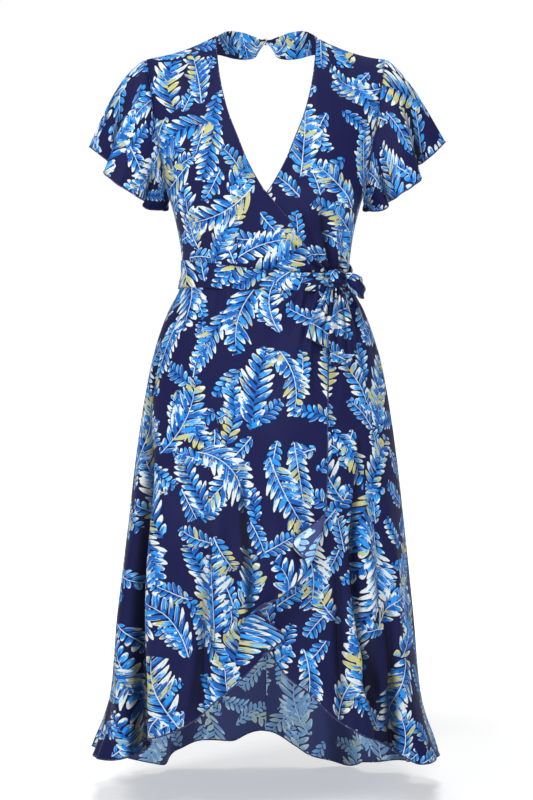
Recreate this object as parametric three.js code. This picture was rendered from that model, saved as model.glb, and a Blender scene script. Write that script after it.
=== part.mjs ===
import * as THREE from 'three';

// A wrap dress with flutter sleeves, an open back, a waist tie and a cascading wrap skirt,
// shaped as it is when worn, with nobody in it.
// Millimetres, +Z up, front towards -Y. The origin lies midway between the shoulder tips, at their height.
// Angles run round the body: 0 at the front centre, 90 at the side of +X, -90 at -X, 180 at the back centre.
// A level is a height on the body's axis. Near the shoulders the rings slope down like a roof.

const CLOTH = 1.2;
const BAND_CLOTH = 1.6;
const SEAM_GAP = 0.4;
const LAYER_STEP = 2.5;
const OVER_START = -88;
const OVER_SPREAD = 26;

const NECK_HALF = 75;
const SHOULDER_HALF = 178;
const SHOULDER_DROP = 32;
const SHOULDER_CURVE = 1.7;
const SHOULDER_LEVEL = 34.8;
const SHOULDER_GAP = 0.65;
const UNDERARM_LEVEL = -208;
const BODICE_LEVEL = -319.6;
const SKIRT_LEVEL = -320.4;
const SIDE_HEM_LEVEL = -1031;
const SIDE_ANGLE = 90;

// The general figure that the dress is cut for, a ring a row.
const RINGS = [
  { level: 36, half: 178, front: 0, back: 0, square: 2.3, roof: 1, mid: 8 },
  { level: 24, half: 178, front: 14, back: 15, square: 2.3, roof: 1, mid: 7 },
  { level: 6, half: 178.5, front: 25, back: 32, square: 2.3, roof: 1, mid: 6 },
  { level: -25, half: 178, front: 45, back: 54, square: 2.3, roof: 0.95, mid: 4 },
  { level: -55, half: 177, front: 61, back: 70, square: 2.35, roof: 0.8, mid: 3 },
  { level: -89, half: 173, front: 76, back: 84, square: 2.4, roof: 0.5, mid: 1 },
  { level: -126, half: 165, front: 91, back: 95, square: 2.5, roof: 0.2, mid: 0 },
  { level: -161, half: 156, front: 102, back: 102, square: 2.6, roof: 0.05, mid: 0 },
  { level: -197, half: 147, front: 107, back: 104, square: 2.6, roof: 0, mid: 0 },
  { level: -215, half: 141.5, front: 107, back: 103, square: 2.55, roof: 0, mid: 0 },
  { level: -250, half: 132.6, front: 102, back: 98, square: 2.4, roof: 0, mid: 0 },
  { level: -282, half: 127.2, front: 96, back: 93, square: 2.3, roof: 0, mid: 0 },
  { level: -312, half: 124.5, front: 92, back: 91, square: 2.25, roof: 0, mid: 0 },
  { level: -342, half: 130, front: 94, back: 97, square: 2.25, roof: 0, mid: 0 },
  { level: -372, half: 145, front: 103, back: 108, square: 2.25, roof: 0, mid: 0 },
  { level: -402, half: 157, front: 110, back: 119, square: 2.25, roof: 0, mid: 0 },
  { level: -447, half: 170.5, front: 118, back: 131, square: 2.25, roof: 0, mid: 0 },
  { level: -507, half: 182.5, front: 125, back: 140, square: 2.25, roof: 0, mid: 0 },
  { level: -597, half: 195.5, front: 135, back: 150, square: 2.25, roof: 0, mid: 0 },
  { level: -717, half: 209, front: 146, back: 161, square: 2.25, roof: 0, mid: 0 },
  { level: -838, half: 221.5, front: 155, back: 171, square: 2.25, roof: 0, mid: 0 },
  { level: -929, half: 230, front: 161, back: 178, square: 2.25, roof: 0, mid: 0 },
  { level: -989, half: 243, front: 167, back: 184, square: 2.25, roof: 0, mid: 0 },
  { level: -1032, half: 258, front: 173, back: 190, square: 2.25, roof: 0, mid: 0 },
  { level: -1100, half: 274, front: 180, back: 198, square: 2.25, roof: 0, mid: 0 },
];

// How a fold grows below its start, and what share of its half width it has there.
const FOLD_GROWTH = 1.5;
const FOLD_NARROW = 0.75;
const FOLD_LIMIT = 1.1;

// The large folds of the skirt: angle where each starts and where it meets the hem, the level where it
// starts, how far it stands out (or in, below zero) at the hem, and its half width there in degrees.
const SKIRT_FOLDS = [
  { top: -66, hem: -45, start: -420, out: -24, wide: 6.5 },
  { top: -52, hem: -34, start: -560, out: 9, wide: 8 },
  { top: -80, hem: -66, start: -640, out: 8, wide: 12 },
  { top: -24, hem: -19, start: -640, out: -7, wide: 7 },
  { top: 22, hem: 14, start: -700, out: -6, wide: 7 },
  { top: 36, hem: 29, start: -640, out: 8, wide: 8 },
  { top: 52, hem: 43, start: -560, out: -22, wide: 6.5 },
  { top: 66, hem: 60, start: -600, out: 8, wide: 12 },
  { top: 92, hem: 88, start: -820, out: -7, wide: 7 },
  { top: -92, hem: -88, start: -860, out: -6, wide: 7 },
  { top: 104, hem: 106, start: -700, out: 9, wide: 9 },
  { top: 116, hem: 119, start: -480, out: -17, wide: 7 },
  { top: 130, hem: 132, start: -640, out: 12, wide: 8 },
  { top: 142, hem: 145, start: -560, out: -15, wide: 6 },
  { top: 156, hem: 157, start: -660, out: 12, wide: 7 },
  { top: 167, hem: 168, start: -520, out: -13, wide: 6 },
  { top: 180, hem: 180, start: -700, out: 8, wide: 8 },
  { top: -166, hem: -167, start: -600, out: -12, wide: 6 },
  { top: -154, hem: -155, start: -680, out: 11, wide: 8 },
  { top: -141, hem: -141, start: -500, out: -15, wide: 7 },
  { top: -128, hem: -127, start: -640, out: 11, wide: 8 },
  { top: -115, hem: -113, start: -560, out: -14, wide: 7 },
  { top: -102, hem: -100, start: -760, out: 8, wide: 8 },
];

// How low the back hem hangs, round from the side at +X to the side at -X.
const BACK_HEM = [
  { angle: 90, level: SIDE_HEM_LEVEL },
  { angle: 104, level: -1056 },
  { angle: 120, level: -1074 },
  { angle: 133, level: -1083 },
  { angle: 145, level: -1088 },
  { angle: 155, level: -1101 },
  { angle: 163, level: -1090 },
  { angle: 172, level: -1070 },
  { angle: 181, level: -1045 },
  { angle: 190, level: -1060 },
  { angle: 199, level: -1059 },
  { angle: 208, level: -1073 },
  { angle: 216, level: -1092 },
  { angle: 226, level: -1082 },
  { angle: 240, level: -1062 },
  { angle: 256, level: -1041 },
  { angle: 270, level: SIDE_HEM_LEVEL },
];

// The front edges, seen from the front for the layer that lies over. The layer under is its mirror image.
const WRAP_EDGE = [
  { x: 88, z: -319.6 },
  { x: 76, z: -308 },
  { x: 61, z: -289 },
  { x: 47, z: -267 },
  { x: 34, z: -246 },
  { x: 17, z: -226 },
  { x: 1, z: -208 },
];
const NECK_EDGE = [
  { x: 1, z: -208 },
  { x: -9, z: -194 },
  { x: -27, z: -161 },
  { x: -41, z: -126 },
  { x: -55, z: -89 },
  { x: -64, z: -55 },
  { x: -69.5, z: -25 },
  { x: -73, z: 6 },
  { x: -NECK_HALF, z: SHOULDER_LEVEL },
];

// The open back: from the top of the centre seam to the neck point.
const BACK_EDGE = [
  { x: 0.3, z: -240 },
  { x: 16, z: -236 },
  { x: 42, z: -217 },
  { x: 65, z: -182 },
  { x: 79, z: -140 },
  { x: 85, z: -95 },
  { x: 84, z: -50 },
  { x: 79, z: 0 },
  { x: NECK_HALF, z: SHOULDER_LEVEL },
];

// The armhole: degrees that its front and back edges lie from the side line.
const ARMHOLE = [
  { level: UNDERARM_LEVEL, front: 0, back: 0 },
  { level: -198, front: 8, back: 9 },
  { level: -178, front: 14, back: 17 },
  { level: -142, front: 19, back: 25 },
  { level: -104, front: 22, back: 28 },
  { level: -66, front: 22, back: 28 },
  { level: -28, front: 19.5, back: 24 },
  { level: 4, front: 14, back: 17 },
  { level: 25, front: 7, back: 8 },
  { level: SHOULDER_LEVEL, front: 0, back: 0 },
];

// Edge of the skirt front that lies over, down from the knot and round to the start of its hem.
const CASCADE_EDGE = [
  { x: 87, z: SKIRT_LEVEL },
  { x: 88, z: -400 },
  { x: 88, z: -480 },
  { x: 88, z: -560 },
  { x: 87, z: -640 },
  { x: 77, z: -690 },
  { x: 60, z: -732 },
  { x: 34, z: -764 },
  { x: 12, z: -796 },
  { x: 4, z: -828 },
  { x: -8, z: -864 },
];
const OVER_HEM = [
  { x: -8, z: -864 },
  { x: -30, z: -893 },
  { x: -66, z: -928 },
  { x: -104, z: -962 },
  { x: -140, z: -983 },
  { x: -172, z: -996 },
  { x: -205, z: -1023 },
  { x: -235, z: -1030 },
  { x: -257.6, z: SIDE_HEM_LEVEL },
];

// Hidden edge of the skirt front that lies under, then its hem.
const UNDER_EDGE = [
  { x: -87, z: SKIRT_LEVEL },
  { x: -87, z: -440 },
  { x: -84, z: -560 },
  { x: -76, z: -660 },
  { x: -58, z: -740 },
  { x: -32, z: -800 },
  { x: -2, z: -852 },
];
const UNDER_HEM = [
  { x: -2, z: -852 },
  { x: 12, z: -873 },
  { x: 32, z: -899 },
  { x: 62, z: -921 },
  { x: 95, z: -956 },
  { x: 135, z: -983 },
  { x: 176, z: -999 },
  { x: 207, z: -1028 },
  { x: 234, z: -1034 },
  { x: 257.6, z: SIDE_HEM_LEVEL },
];

// Ripples of the cascade, by share of the edge's length: sideways swing, drop and lift off the skirt,
// and half width along the edge.
const CASCADE_RIPPLES = [
  { at: 0.56, swing: -3, drop: 0, lift: 9, wide: 0.09 },
  { at: 0.7, swing: -5, drop: -3, lift: 20, wide: 0.055 },
  { at: 0.83, swing: -16, drop: 2, lift: 10, wide: 0.04 },
  { at: 0.93, swing: 20, drop: 0, lift: 3, wide: 0.035 },
];
const CASCADE_REACH = 0.42;
const CASCADE_GROWTH = 1.6;

const SLEEVES = [
  { name: 'sleeve_left', side: -1, tipX: 251, tipZ: -134, crown: 14 },
  { name: 'sleeve_right', side: 1, tipX: 255, tipZ: -128, crown: 10 },
];
const SLEEVE_UNDER = { x: 151, z: -216 };
const SLEEVE_DEPTH = { front: 74, back: 80 };
const SLEEVE_SAG = 24;
const SLEEVE_WAVES = 5;
const SLEEVE_WAVE = 17;
const SLEEVE_GAP = 1.2;
const SLEEVE_STAND = 1.6;
const SLEEVE_RISE = 20;
const SLEEVE_MIDDLE_Y = 2;
const SLEEVE_ROWS = 7;
// Powers of the share of the way: how the hem sags, the waves grow and the crown fills out.
const SAG_POWER = 1.4;
const WAVE_POWER = 1.6;
const CROWN_POWER = 0.7;

const BELT_LOW = -341;
const BELT_TOP_SIDE = -299;
const BELT_TOP_KNOT = -322;
const BELT_LIFT = 2.4;
const BELT_ROWS = 3;
// Angles between which the belt's top edge dips to the knot, and where it comes off the front that lies over.
const BELT_DIP = { from: -75, low: 35, leave: 55, to: 115 };
const BELT_STEP = { from: 40, to: 56 };

const KNOT = { x: 100, y: -84.2, z: -328 };
const KNOT_HALF = { x: 14, y: 11, z: 15 };
const KNOT_ROUND = 0.7;
const KNOT_WRINKLE = { deep: 0.06, count: 4 };

const NAPE_BAND = [
  { topX: 75.6, topY: 10.5, topZ: 36, lowX: 78.2, lowY: 31, lowZ: 14 },
  { topX: 68, topY: 27, topZ: 44, lowX: 69, lowY: 40, lowZ: 14 },
  { topX: 60, topY: 40, topZ: 50, lowX: 61, lowY: 50, lowZ: 13.5 },
  { topX: 50, topY: 52, topZ: 53, lowX: 50, lowY: 59, lowZ: 12 },
  { topX: 37, topY: 62, topZ: 52.5, lowX: 37, lowY: 66, lowZ: 11.5 },
  { topX: 24, topY: 68, topZ: 49, lowX: 25, lowY: 70, lowZ: 13.5 },
  { topX: 14, topY: 71.5, topZ: 46, lowX: 15, lowY: 72, lowZ: 22 },
  { topX: 7, topY: 73, topZ: 43.5, lowX: 7.5, lowY: 73, lowZ: 33 },
  { topX: 0.4, topY: 73.5, topZ: 43, lowX: 0.4, lowY: 73.5, lowZ: 38 },
];

const PRINT_BLUE = 0x2f62b4;
const GROUND_NAVY = 0x23204f;
const WRONG_SIDE = 0x4a5f9c;

const dress = new THREE.Group();

function clamp(value, low, high) {
  return Math.min(high, Math.max(low, value));
}

function lerp(a, b, t) {
  return a + (b - a) * t;
}

function smooth(t) {
  const c = clamp(t, 0, 1);
  return c * c * (3 - 2 * c);
}

function bell(distance) {
  return Math.exp(-distance * distance);
}

function radians(degrees) {
  return (degrees * Math.PI) / 180;
}

// Reads a column of a table at a place, with a cubic whose slopes are limited so that it never overshoots.
function column(table, key, name, place) {
  const rising = table[1][key] > table[0][key];
  let i = 0;
  while (i < table.length - 2 && (rising ? place > table[i + 1][key] : place < table[i + 1][key])) {
    i += 1;
  }
  const slope = (k) => {
    if (k <= 0 || k >= table.length - 1) {
      const j = clamp(k, 0, table.length - 2);
      return (table[j + 1][name] - table[j][name]) / (table[j + 1][key] - table[j][key]);
    }
    const before = (table[k][name] - table[k - 1][name]) / (table[k][key] - table[k - 1][key]);
    const after = (table[k + 1][name] - table[k][name]) / (table[k + 1][key] - table[k][key]);
    return before * after <= 0 ? 0 : (2 * before * after) / (before + after);
  };
  const a = table[i];
  const b = table[i + 1];
  const span = b[key] - a[key];
  const t = clamp((place - a[key]) / span, 0, 1);
  const t2 = t * t;
  const t3 = t2 * t;
  return (
    (2 * t3 - 3 * t2 + 1) * a[name] +
    (t3 - 2 * t2 + t) * span * slope(i) +
    (-2 * t3 + 3 * t2) * b[name] +
    (t3 - t2) * span * slope(i + 1)
  );
}

function ring(level) {
  const row = {};
  for (const name of ['half', 'front', 'back', 'square', 'roof', 'mid']) {
    row[name] = column(RINGS, 'level', name, level);
  }
  return row;
}

// How far the skirt's folds push the cloth out at an angle and a level.
function foldOut(angle, level) {
  let out = 0;
  for (const fold of SKIRT_FOLDS) {
    const t = clamp((fold.start - level) / (fold.start - SIDE_HEM_LEVEL), 0, FOLD_LIMIT);
    if (t <= 0) {
      continue;
    }
    let away = angle - lerp(fold.top, fold.hem, t);
    away -= 360 * Math.round(away / 360);
    const wide = fold.wide * lerp(FOLD_NARROW, 1, t);
    out += fold.out * Math.pow(t, FOLD_GROWTH) * bell(away / wide);
  }
  return out;
}

// The shoulder line falls from the neck point, more steeply there than at the tip.
function shoulderDrop(x) {
  const share = clamp((Math.abs(x) - NECK_HALF) / (SHOULDER_HALF - NECK_HALF), 0, 1);
  return SHOULDER_DROP * (1 - Math.pow(1 - share, SHOULDER_CURVE));
}

// A point of the figure: a squared-off oval at each level, with the folds pushed out along the radius.
function bodyPoint(angle, level) {
  const row = ring(level);
  const s = Math.sin(radians(angle));
  const c = Math.cos(radians(angle));
  const power = 2 / row.square;
  const out = 1 + foldOut(angle, level) / row.half;
  const x = row.half * Math.sign(s) * Math.pow(Math.abs(s), power) * out;
  const depth = c > 0 ? -row.front : row.back;
  const y = row.mid + depth * Math.pow(Math.abs(c), power) * out;
  const z = level - row.roof * shoulderDrop(x);
  return new THREE.Vector3(x, y, z);
}

function bodyNormal(angle, level) {
  const turn = 1.5;
  const step = 3;
  const lowest = Math.min(level, SHOULDER_LEVEL - step);
  const round = bodyPoint(angle + turn, lowest).sub(bodyPoint(angle - turn, lowest));
  const up = bodyPoint(angle, lowest + step).sub(bodyPoint(angle, lowest - step));
  return round.cross(up).normalize();
}

function onBody(angle, level, lift) {
  return bodyPoint(angle, level).addScaledVector(bodyNormal(angle, level), lift);
}

// The angle at which the figure's outline at a level is x wide, on the front.
function angleAt(x, level) {
  const row = ring(level);
  const share = clamp(Math.abs(x) / row.half, 0, 1);
  return (Math.sign(x) * Math.asin(Math.pow(share, row.square / 2)) * 180) / Math.PI;
}

// The wrapped layer rises off the one beneath from the side seam towards the front.
function overLift(angle) {
  return LAYER_STEP * smooth((angle - OVER_START) / OVER_SPREAD);
}

// Turns a table of front-view places into places (angle, level) along the curve through them.
function frontPlaces(points) {
  const curve = new THREE.SplineCurve(points.map((p) => new THREE.Vector2(p.x, p.z)));
  return (t) => {
    const p = curve.getPointAt(clamp(t, 0, 1));
    return { angle: angleAt(p.x, p.y), level: p.y };
  };
}

function backPlaces(points) {
  const front = frontPlaces(points);
  return (t) => {
    const p = front(t);
    return { angle: 180 - p.angle, level: p.level };
  };
}

function armholePlace(side, which, t) {
  const place = t * (ARMHOLE.length - 1);
  const i = clamp(Math.floor(place), 0, ARMHOLE.length - 2);
  const level = lerp(ARMHOLE[i].level, ARMHOLE[i + 1].level, place - i);
  const turn = column(ARMHOLE, 'level', which, level);
  return { angle: side * (which === 'front' ? SIDE_ANGLE - turn : SIDE_ANGLE + turn), level };
}

// A wall of cloth: a grid of middle points is thickened along its own normals and closed round its rim.
function wall(name, grid, thick, closed, color = PRINT_BLUE) {
  const rows = grid.length;
  const cols = grid[0].length;
  const at = (i, j) => grid[i][closed ? (j + cols) % cols : clamp(j, 0, cols - 1)];
  const positions = [];
  for (const side of [0.5, -0.5]) {
    for (let i = 0; i < rows; i += 1) {
      for (let j = 0; j < cols; j += 1) {
        const along = at(i, j + 1).clone().sub(at(i, j - 1));
        const up = at(clamp(i + 1, 0, rows - 1), j).clone().sub(at(clamp(i - 1, 0, rows - 1), j));
        const normal = along.cross(up).normalize();
        positions.push(...at(i, j).clone().addScaledVector(normal, side * thick).toArray());
      }
    }
  }
  const index = [];
  const layer = rows * cols;
  const quad = (a, b, c, d) => index.push(a, b, c, a, c, d);
  const lastCol = closed ? cols : cols - 1;
  for (let i = 0; i < rows - 1; i += 1) {
    for (let j = 0; j < lastCol; j += 1) {
      const a = i * cols + j;
      const b = i * cols + ((j + 1) % cols);
      quad(a, b, b + cols, a + cols);
      quad(layer + a, layer + a + cols, layer + b + cols, layer + b);
    }
  }
  for (let j = 0; j < lastCol; j += 1) {
    const a = j;
    const b = (j + 1) % cols;
    const top = (rows - 1) * cols;
    quad(layer + a, layer + b, b, a);
    quad(top + a, top + b, layer + top + b, layer + top + a);
  }
  if (!closed) {
    for (let i = 0; i < rows - 1; i += 1) {
      const a = i * cols;
      const b = a + cols;
      const right = cols - 1;
      quad(a, b, layer + b, layer + a);
      quad(layer + a + right, layer + b + right, b + right, a + right);
    }
  }
  addMesh(name, positions, index, color);
}

function addMesh(name, positions, index, color) {
  const geometry = new THREE.BufferGeometry();
  geometry.setAttribute('position', new THREE.Float32BufferAttribute(positions, 3));
  geometry.setIndex(index);
  geometry.computeVertexNormals();
  const material = new THREE.MeshStandardMaterial({ color, roughness: 0.72, metalness: 0 });
  const mesh = new THREE.Mesh(geometry, material);
  mesh.name = name;
  dress.add(mesh);
}

// A grid of points: place(v, u) gives the point a share v of the way up the rows and u along them.
function gridOf(rows, cols, place) {
  const grid = [];
  for (let i = 0; i <= rows; i += 1) {
    const line = [];
    for (let j = 0; j <= cols; j += 1) {
      line.push(place(i / rows, j / cols));
    }
    grid.push(line);
  }
  return grid;
}

const BODICE_ROWS = 15;
const ARMHOLE_ROWS = 9;
const SIDE_SHARE = (BODICE_ROWS - ARMHOLE_ROWS) / BODICE_ROWS;

// Outer edge of a bodice piece: up the side seam, then round the armhole to the shoulder.
function bodiceSide(side, which, v) {
  if (v <= SIDE_SHARE) {
    return { angle: side * SIDE_ANGLE, level: lerp(BODICE_LEVEL, UNDERARM_LEVEL, v / SIDE_SHARE) };
  }
  return armholePlace(side, which, (v - SIDE_SHARE) / (1 - SIDE_SHARE));
}

// Degrees that make a gap of the given width at a level.
function gapAngle(gap, level) {
  return ((gap / ring(level).half) * 180) / Math.PI;
}

// Front and back part a little at the shoulder seam, where their walls meet at an angle.
function shoulderGap(v) {
  return SHOULDER_GAP * smooth((v - 0.9) / 0.1);
}

function bodiceFront(name, side, cols, lift) {
  const wrap = frontPlaces(WRAP_EDGE);
  const neck = frontPlaces(NECK_EDGE);
  const edge = (v) => {
    const p = v <= SIDE_SHARE ? wrap(v / SIDE_SHARE) : neck((v - SIDE_SHARE) / (1 - SIDE_SHARE));
    return { angle: -side * p.angle, level: p.level };
  };
  const grid = gridOf(BODICE_ROWS, cols, (v, u) => {
    const outer = bodiceSide(side, 'front', v);
    const inner = edge(v);
    const level = lerp(outer.level, inner.level, u);
    const from = outer.angle - side * gapAngle(SEAM_GAP / 2, level);
    const angle = lerp(from, inner.angle, u);
    const point = onBody(angle, level, lift(angle, level));
    point.y -= shoulderGap(v);
    return point;
  });
  if (side > 0) {
    grid.forEach((line) => line.reverse());
  }
  wall(name, grid, CLOTH, false);
}

function bodiceBack(name, side, cols) {
  const opening = backPlaces(BACK_EDGE);
  const top = BACK_EDGE[0].z;
  const grid = gridOf(BODICE_ROWS, cols, (v, u) => {
    const outer = bodiceSide(side, 'back', v);
    const seam = { angle: 180, level: lerp(BODICE_LEVEL, top, v / SIDE_SHARE) };
    const inner = v <= SIDE_SHARE ? seam : opening((v - SIDE_SHARE) / (1 - SIDE_SHARE));
    const level = lerp(outer.level, inner.level, u);
    const gap = gapAngle(SEAM_GAP / 2, level);
    const angle = lerp(Math.abs(outer.angle) + gap, Math.min(inner.angle, 180 - gap * 0.5), u);
    const point = onBody(side * angle, level, 0);
    point.y += shoulderGap(v);
    return point;
  });
  if (side < 0) {
    grid.forEach((line) => line.reverse());
  }
  wall(name, grid, CLOTH, false);
}

// A flutter sleeve: rings run from the armhole to a hem that swings out in waves and hangs
// lower at the front and back than at its tip and underarm.
function sleeve({ name, side, tipX, tipZ, crown }) {
  const steps = ARMHOLE_ROWS * 2;
  const lift = side < 0 ? overLift : () => 0;
  const hole = [];
  for (let k = 0; k < 2 * steps; k += 1) {
    const which = k < steps ? 'front' : 'back';
    const share = k < steps ? 1 - k / steps : k / steps - 1;
    const place = share * ARMHOLE_ROWS;
    const i = clamp(Math.floor(place), 0, ARMHOLE_ROWS - 1);
    const low = armholePlace(side, which, i / ARMHOLE_ROWS);
    const high = armholePlace(side, which, (i + 1) / ARMHOLE_ROWS);
    const from = onBody(low.angle, low.level, lift(low.angle));
    const to = onBody(high.angle, high.level, lift(high.angle));
    const stand = SLEEVE_STAND * smooth(1.1 - share * 1.2);
    hole.push(from.lerp(to, place - i).addScaledVector(bodyNormal(low.angle, low.level), stand));
  }
  const centreX = (tipX + SLEEVE_UNDER.x) / 2;
  const centreZ = (tipZ + SLEEVE_UNDER.z) / 2;
  const reachX = (tipX - SLEEVE_UNDER.x) / 2;
  const reachZ = (tipZ - SLEEVE_UNDER.z) / 2;
  const radial = (theta) => {
    const depth = Math.sin(theta) > 0 ? SLEEVE_DEPTH.front : SLEEVE_DEPTH.back;
    return new THREE.Vector3(
      side * reachX * Math.cos(theta),
      -depth * Math.sin(theta),
      reachZ * Math.cos(theta),
    );
  };
  const grid = [];
  for (let i = 0; i <= SLEEVE_ROWS; i += 1) {
    const v = i / SLEEVE_ROWS;
    const line = [];
    for (let k = 0; k < 2 * steps; k += 1) {
      const theta = (k / (2 * steps)) * 2 * Math.PI;
      const spoke = radial(theta);
      const out = spoke.clone().normalize();
      const hem = new THREE.Vector3(side * centreX, SLEEVE_MIDDLE_Y, centreZ).add(spoke);
      hem.z -= SLEEVE_SAG * Math.pow(Math.abs(Math.sin(theta)), SAG_POWER);
      const wave = SLEEVE_WAVE * Math.cos(SLEEVE_WAVES * theta) * Math.pow(v, WAVE_POWER);
      const full = crown * Math.sin(Math.PI * Math.pow(v, CROWN_POWER)) * Math.pow(Math.cos(theta / 2), 2);
      const start = hole[k].clone();
      const way = hem.clone().sub(start).addScaledVector(out, SLEEVE_RISE).normalize();
      start.addScaledVector(way, SLEEVE_GAP);
      line.push(start.lerp(hem, v).addScaledVector(out, wave + full));
    }
    grid.push(line);
  }
  if (side > 0) {
    grid.forEach((line) => line.reverse());
  }
  wall(name, grid.reverse(), CLOTH, true);
}

// Fills the middle of a skirt front from its four edges, each a function from 0 to 1 that gives
// angle and level: straight blends across and down, less the blend of the corners.
function fill(top, low, outer, inner, u, v) {
  const place = {};
  for (const key of ['angle', 'level']) {
    const across = lerp(outer(v)[key], inner(v)[key], u);
    const down = lerp(top(u)[key], low(u)[key], v);
    const corners = lerp(
      lerp(top(0)[key], top(1)[key], u),
      lerp(low(0)[key], low(1)[key], u),
      v,
    );
    place[key] = across + down - corners;
  }
  return place;
}

function rippleAt(v, u) {
  const shift = { swing: 0, drop: 0, lift: 0 };
  const near = Math.pow(clamp((u - 1 + CASCADE_REACH) / CASCADE_REACH, 0, 1), CASCADE_GROWTH);
  for (const ripple of CASCADE_RIPPLES) {
    const share = near * bell((v - ripple.at) / ripple.wide);
    shift.swing += ripple.swing * share;
    shift.drop += ripple.drop * share;
    shift.lift += ripple.lift * share;
  }
  return shift;
}

// Rows of a skirt lie closer together at the waist and the hem than between them.
function skirtRow(v) {
  return lerp(v, smooth(v), 0.6);
}

function skirtFront(name, side, rows, cols, edgePoints, hemPoints, lift, ripples) {
  const inner = frontPlaces(edgePoints);
  const hem = frontPlaces(hemPoints);
  const low = (u) => hem(1 - u);
  const outer = (v) => ({ angle: side * SIDE_ANGLE, level: lerp(SKIRT_LEVEL, SIDE_HEM_LEVEL, v) });
  const top = (u) => ({ angle: lerp(side * SIDE_ANGLE, inner(0).angle, u), level: SKIRT_LEVEL });
  const grid = gridOf(rows, cols, (row, u) => {
    const v = skirtRow(row);
    const place = fill(top, low, outer, inner, u, v);
    const gap = gapAngle(SEAM_GAP / 2, place.level) * (1 - u);
    const shift = ripples ? rippleAt(v, u) : { swing: 0, drop: 0, lift: 0 };
    const angle = place.angle - side * gap;
    const point = onBody(angle, place.level - shift.drop, lift(angle, place.level) + shift.lift);
    point.x += shift.swing;
    return point;
  });
  if (side > 0) {
    grid.forEach((line) => line.reverse());
  }
  wall(name, grid.reverse(), CLOTH, false, side < 0 ? PRINT_BLUE : GROUND_NAVY);
}

function skirtBack(name, from, to) {
  const rows = 18;
  const cols = 18;
  const grid = gridOf(rows, cols, (row, u) => {
    const v = skirtRow(row);
    const hemAngle = lerp(from, to, u);
    const level = lerp(SKIRT_LEVEL, column(BACK_HEM, 'angle', 'level', hemAngle), v);
    const gap = gapAngle(SEAM_GAP / 2, level);
    return onBody(lerp(from + gap, to - gap, u), level, 0);
  });
  wall(name, grid.reverse(), CLOTH, false, WRONG_SIDE);
}

// A stretch of the waist tie: it lies on the panels, its top edge dipping towards the knot.
function beltStretch(name, from, to, cols) {
  const between = (angle, start, end) => smooth((angle - start) / (end - start));
  const grid = gridOf(BELT_ROWS, cols, (v, u) => {
    const angle = lerp(from, to, u);
    const turned = angle > 180 ? angle - 360 : angle;
    const fall = between(turned, BELT_DIP.from, BELT_DIP.low);
    const dip = fall * (1 - between(turned, BELT_DIP.leave, BELT_DIP.to));
    const top = lerp(BELT_TOP_SIDE, BELT_TOP_KNOT, dip);
    const over = overLift(turned) * (1 - between(turned, BELT_STEP.from, BELT_STEP.to));
    return onBody(angle, lerp(BELT_LOW, top, v), over + BELT_LIFT);
  });
  wall(name, grid, CLOTH, false, GROUND_NAVY);
}

// The knot: a rounded block with a waist, its section squared off.
function knot() {
  const rings = 8;
  const sides = 14;
  const positions = [];
  const index = [];
  for (let i = 1; i < rings; i += 1) {
    const polar = (i / rings) * Math.PI;
    const r = Math.pow(Math.sin(polar), KNOT_ROUND);
    for (let j = 0; j < sides; j += 1) {
      const round = (j / sides) * 2 * Math.PI;
      const wrinkle = 1 + KNOT_WRINKLE.deep * Math.cos(KNOT_WRINKLE.count * round);
      positions.push(
        KNOT.x + KNOT_HALF.x * r * Math.cos(round) * wrinkle,
        KNOT.y + KNOT_HALF.y * r * Math.sin(round) * wrinkle,
        KNOT.z - KNOT_HALF.z * Math.cos(polar),
      );
    }
  }
  const lowPole = (rings - 1) * sides;
  positions.push(KNOT.x, KNOT.y, KNOT.z - KNOT_HALF.z, KNOT.x, KNOT.y, KNOT.z + KNOT_HALF.z);
  for (let j = 0; j < sides; j += 1) {
    const next = (j + 1) % sides;
    index.push(lowPole, next, j);
    for (let i = 0; i < rings - 2; i += 1) {
      const a = i * sides;
      index.push(a + j, a + next, a + sides + next, a + j, a + sides + next, a + sides + j);
    }
    const last = (rings - 2) * sides;
    index.push(lowPole + 1, last + j, last + next);
  }
  addMesh('tie_knot', positions, index, GROUND_NAVY);
}

const LOOP_PATH = [
  { x: 116.6, y: -86, z: -329 },
  { x: 124, y: -93, z: -332 },
  { x: 133, y: -93, z: -336 },
  { x: 140, y: -87, z: -340 },
  { x: 143, y: -78, z: -342 },
  { x: 139, y: -69, z: -342 },
  { x: 130, y: -67, z: -338 },
  { x: 122, y: -72, z: -334 },
  { x: 116.6, y: -79.5, z: -330 },
];

const LOOP_HALF = { knot: 7, middle: 20 };
const LOOP_OPENS = 0.6;
const LOOP_LEAN = { x: 2, y: 1.5 };
const LOOP_COLS = 22;
const LOOP_ROWS = 4;

// The one loop of the bow: a band that leaves the knot, turns back and returns, gathered at both ends.
function bowLoop() {
  const curve = new THREE.CatmullRomCurve3(LOOP_PATH.map((p) => new THREE.Vector3(p.x, p.y, p.z)));
  const grid = gridOf(LOOP_ROWS, LOOP_COLS, (v, u) => {
    const centre = curve.getPointAt(u);
    const side = v * 2 - 1;
    const half = lerp(LOOP_HALF.knot, LOOP_HALF.middle, Math.pow(Math.sin(Math.PI * u), LOOP_OPENS));
    return new THREE.Vector3(
      centre.x - LOOP_LEAN.x * side,
      centre.y + LOOP_LEAN.y * side * side,
      centre.z + side * half,
    );
  });
  wall('bow_loop', grid, CLOTH, false);
}

const TAILS = [
  { name: 'tie_tail_short', startX: 93, endX: 73, endZ: -422, half: 16, lean: -8, lift: 11 },
  { name: 'tie_tail_long', startX: 105, endX: 112, endZ: -448, half: 19, lean: 10, lift: 17 },
];

const TAIL_CLEAR = 6;
const TAIL_START = 0.8;
const TAIL_TOP_HALF = 5;
const TAIL_SPREAD = 1.5;
const TAIL_SETTLE = 2.2;
// Waves of the gather across a tail: how deep at the knot, how many turns, and what share is gone at its end.
const TAIL_GATHER = { deep: 2.5, turns: 1.3, fade: 0.6 };

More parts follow.
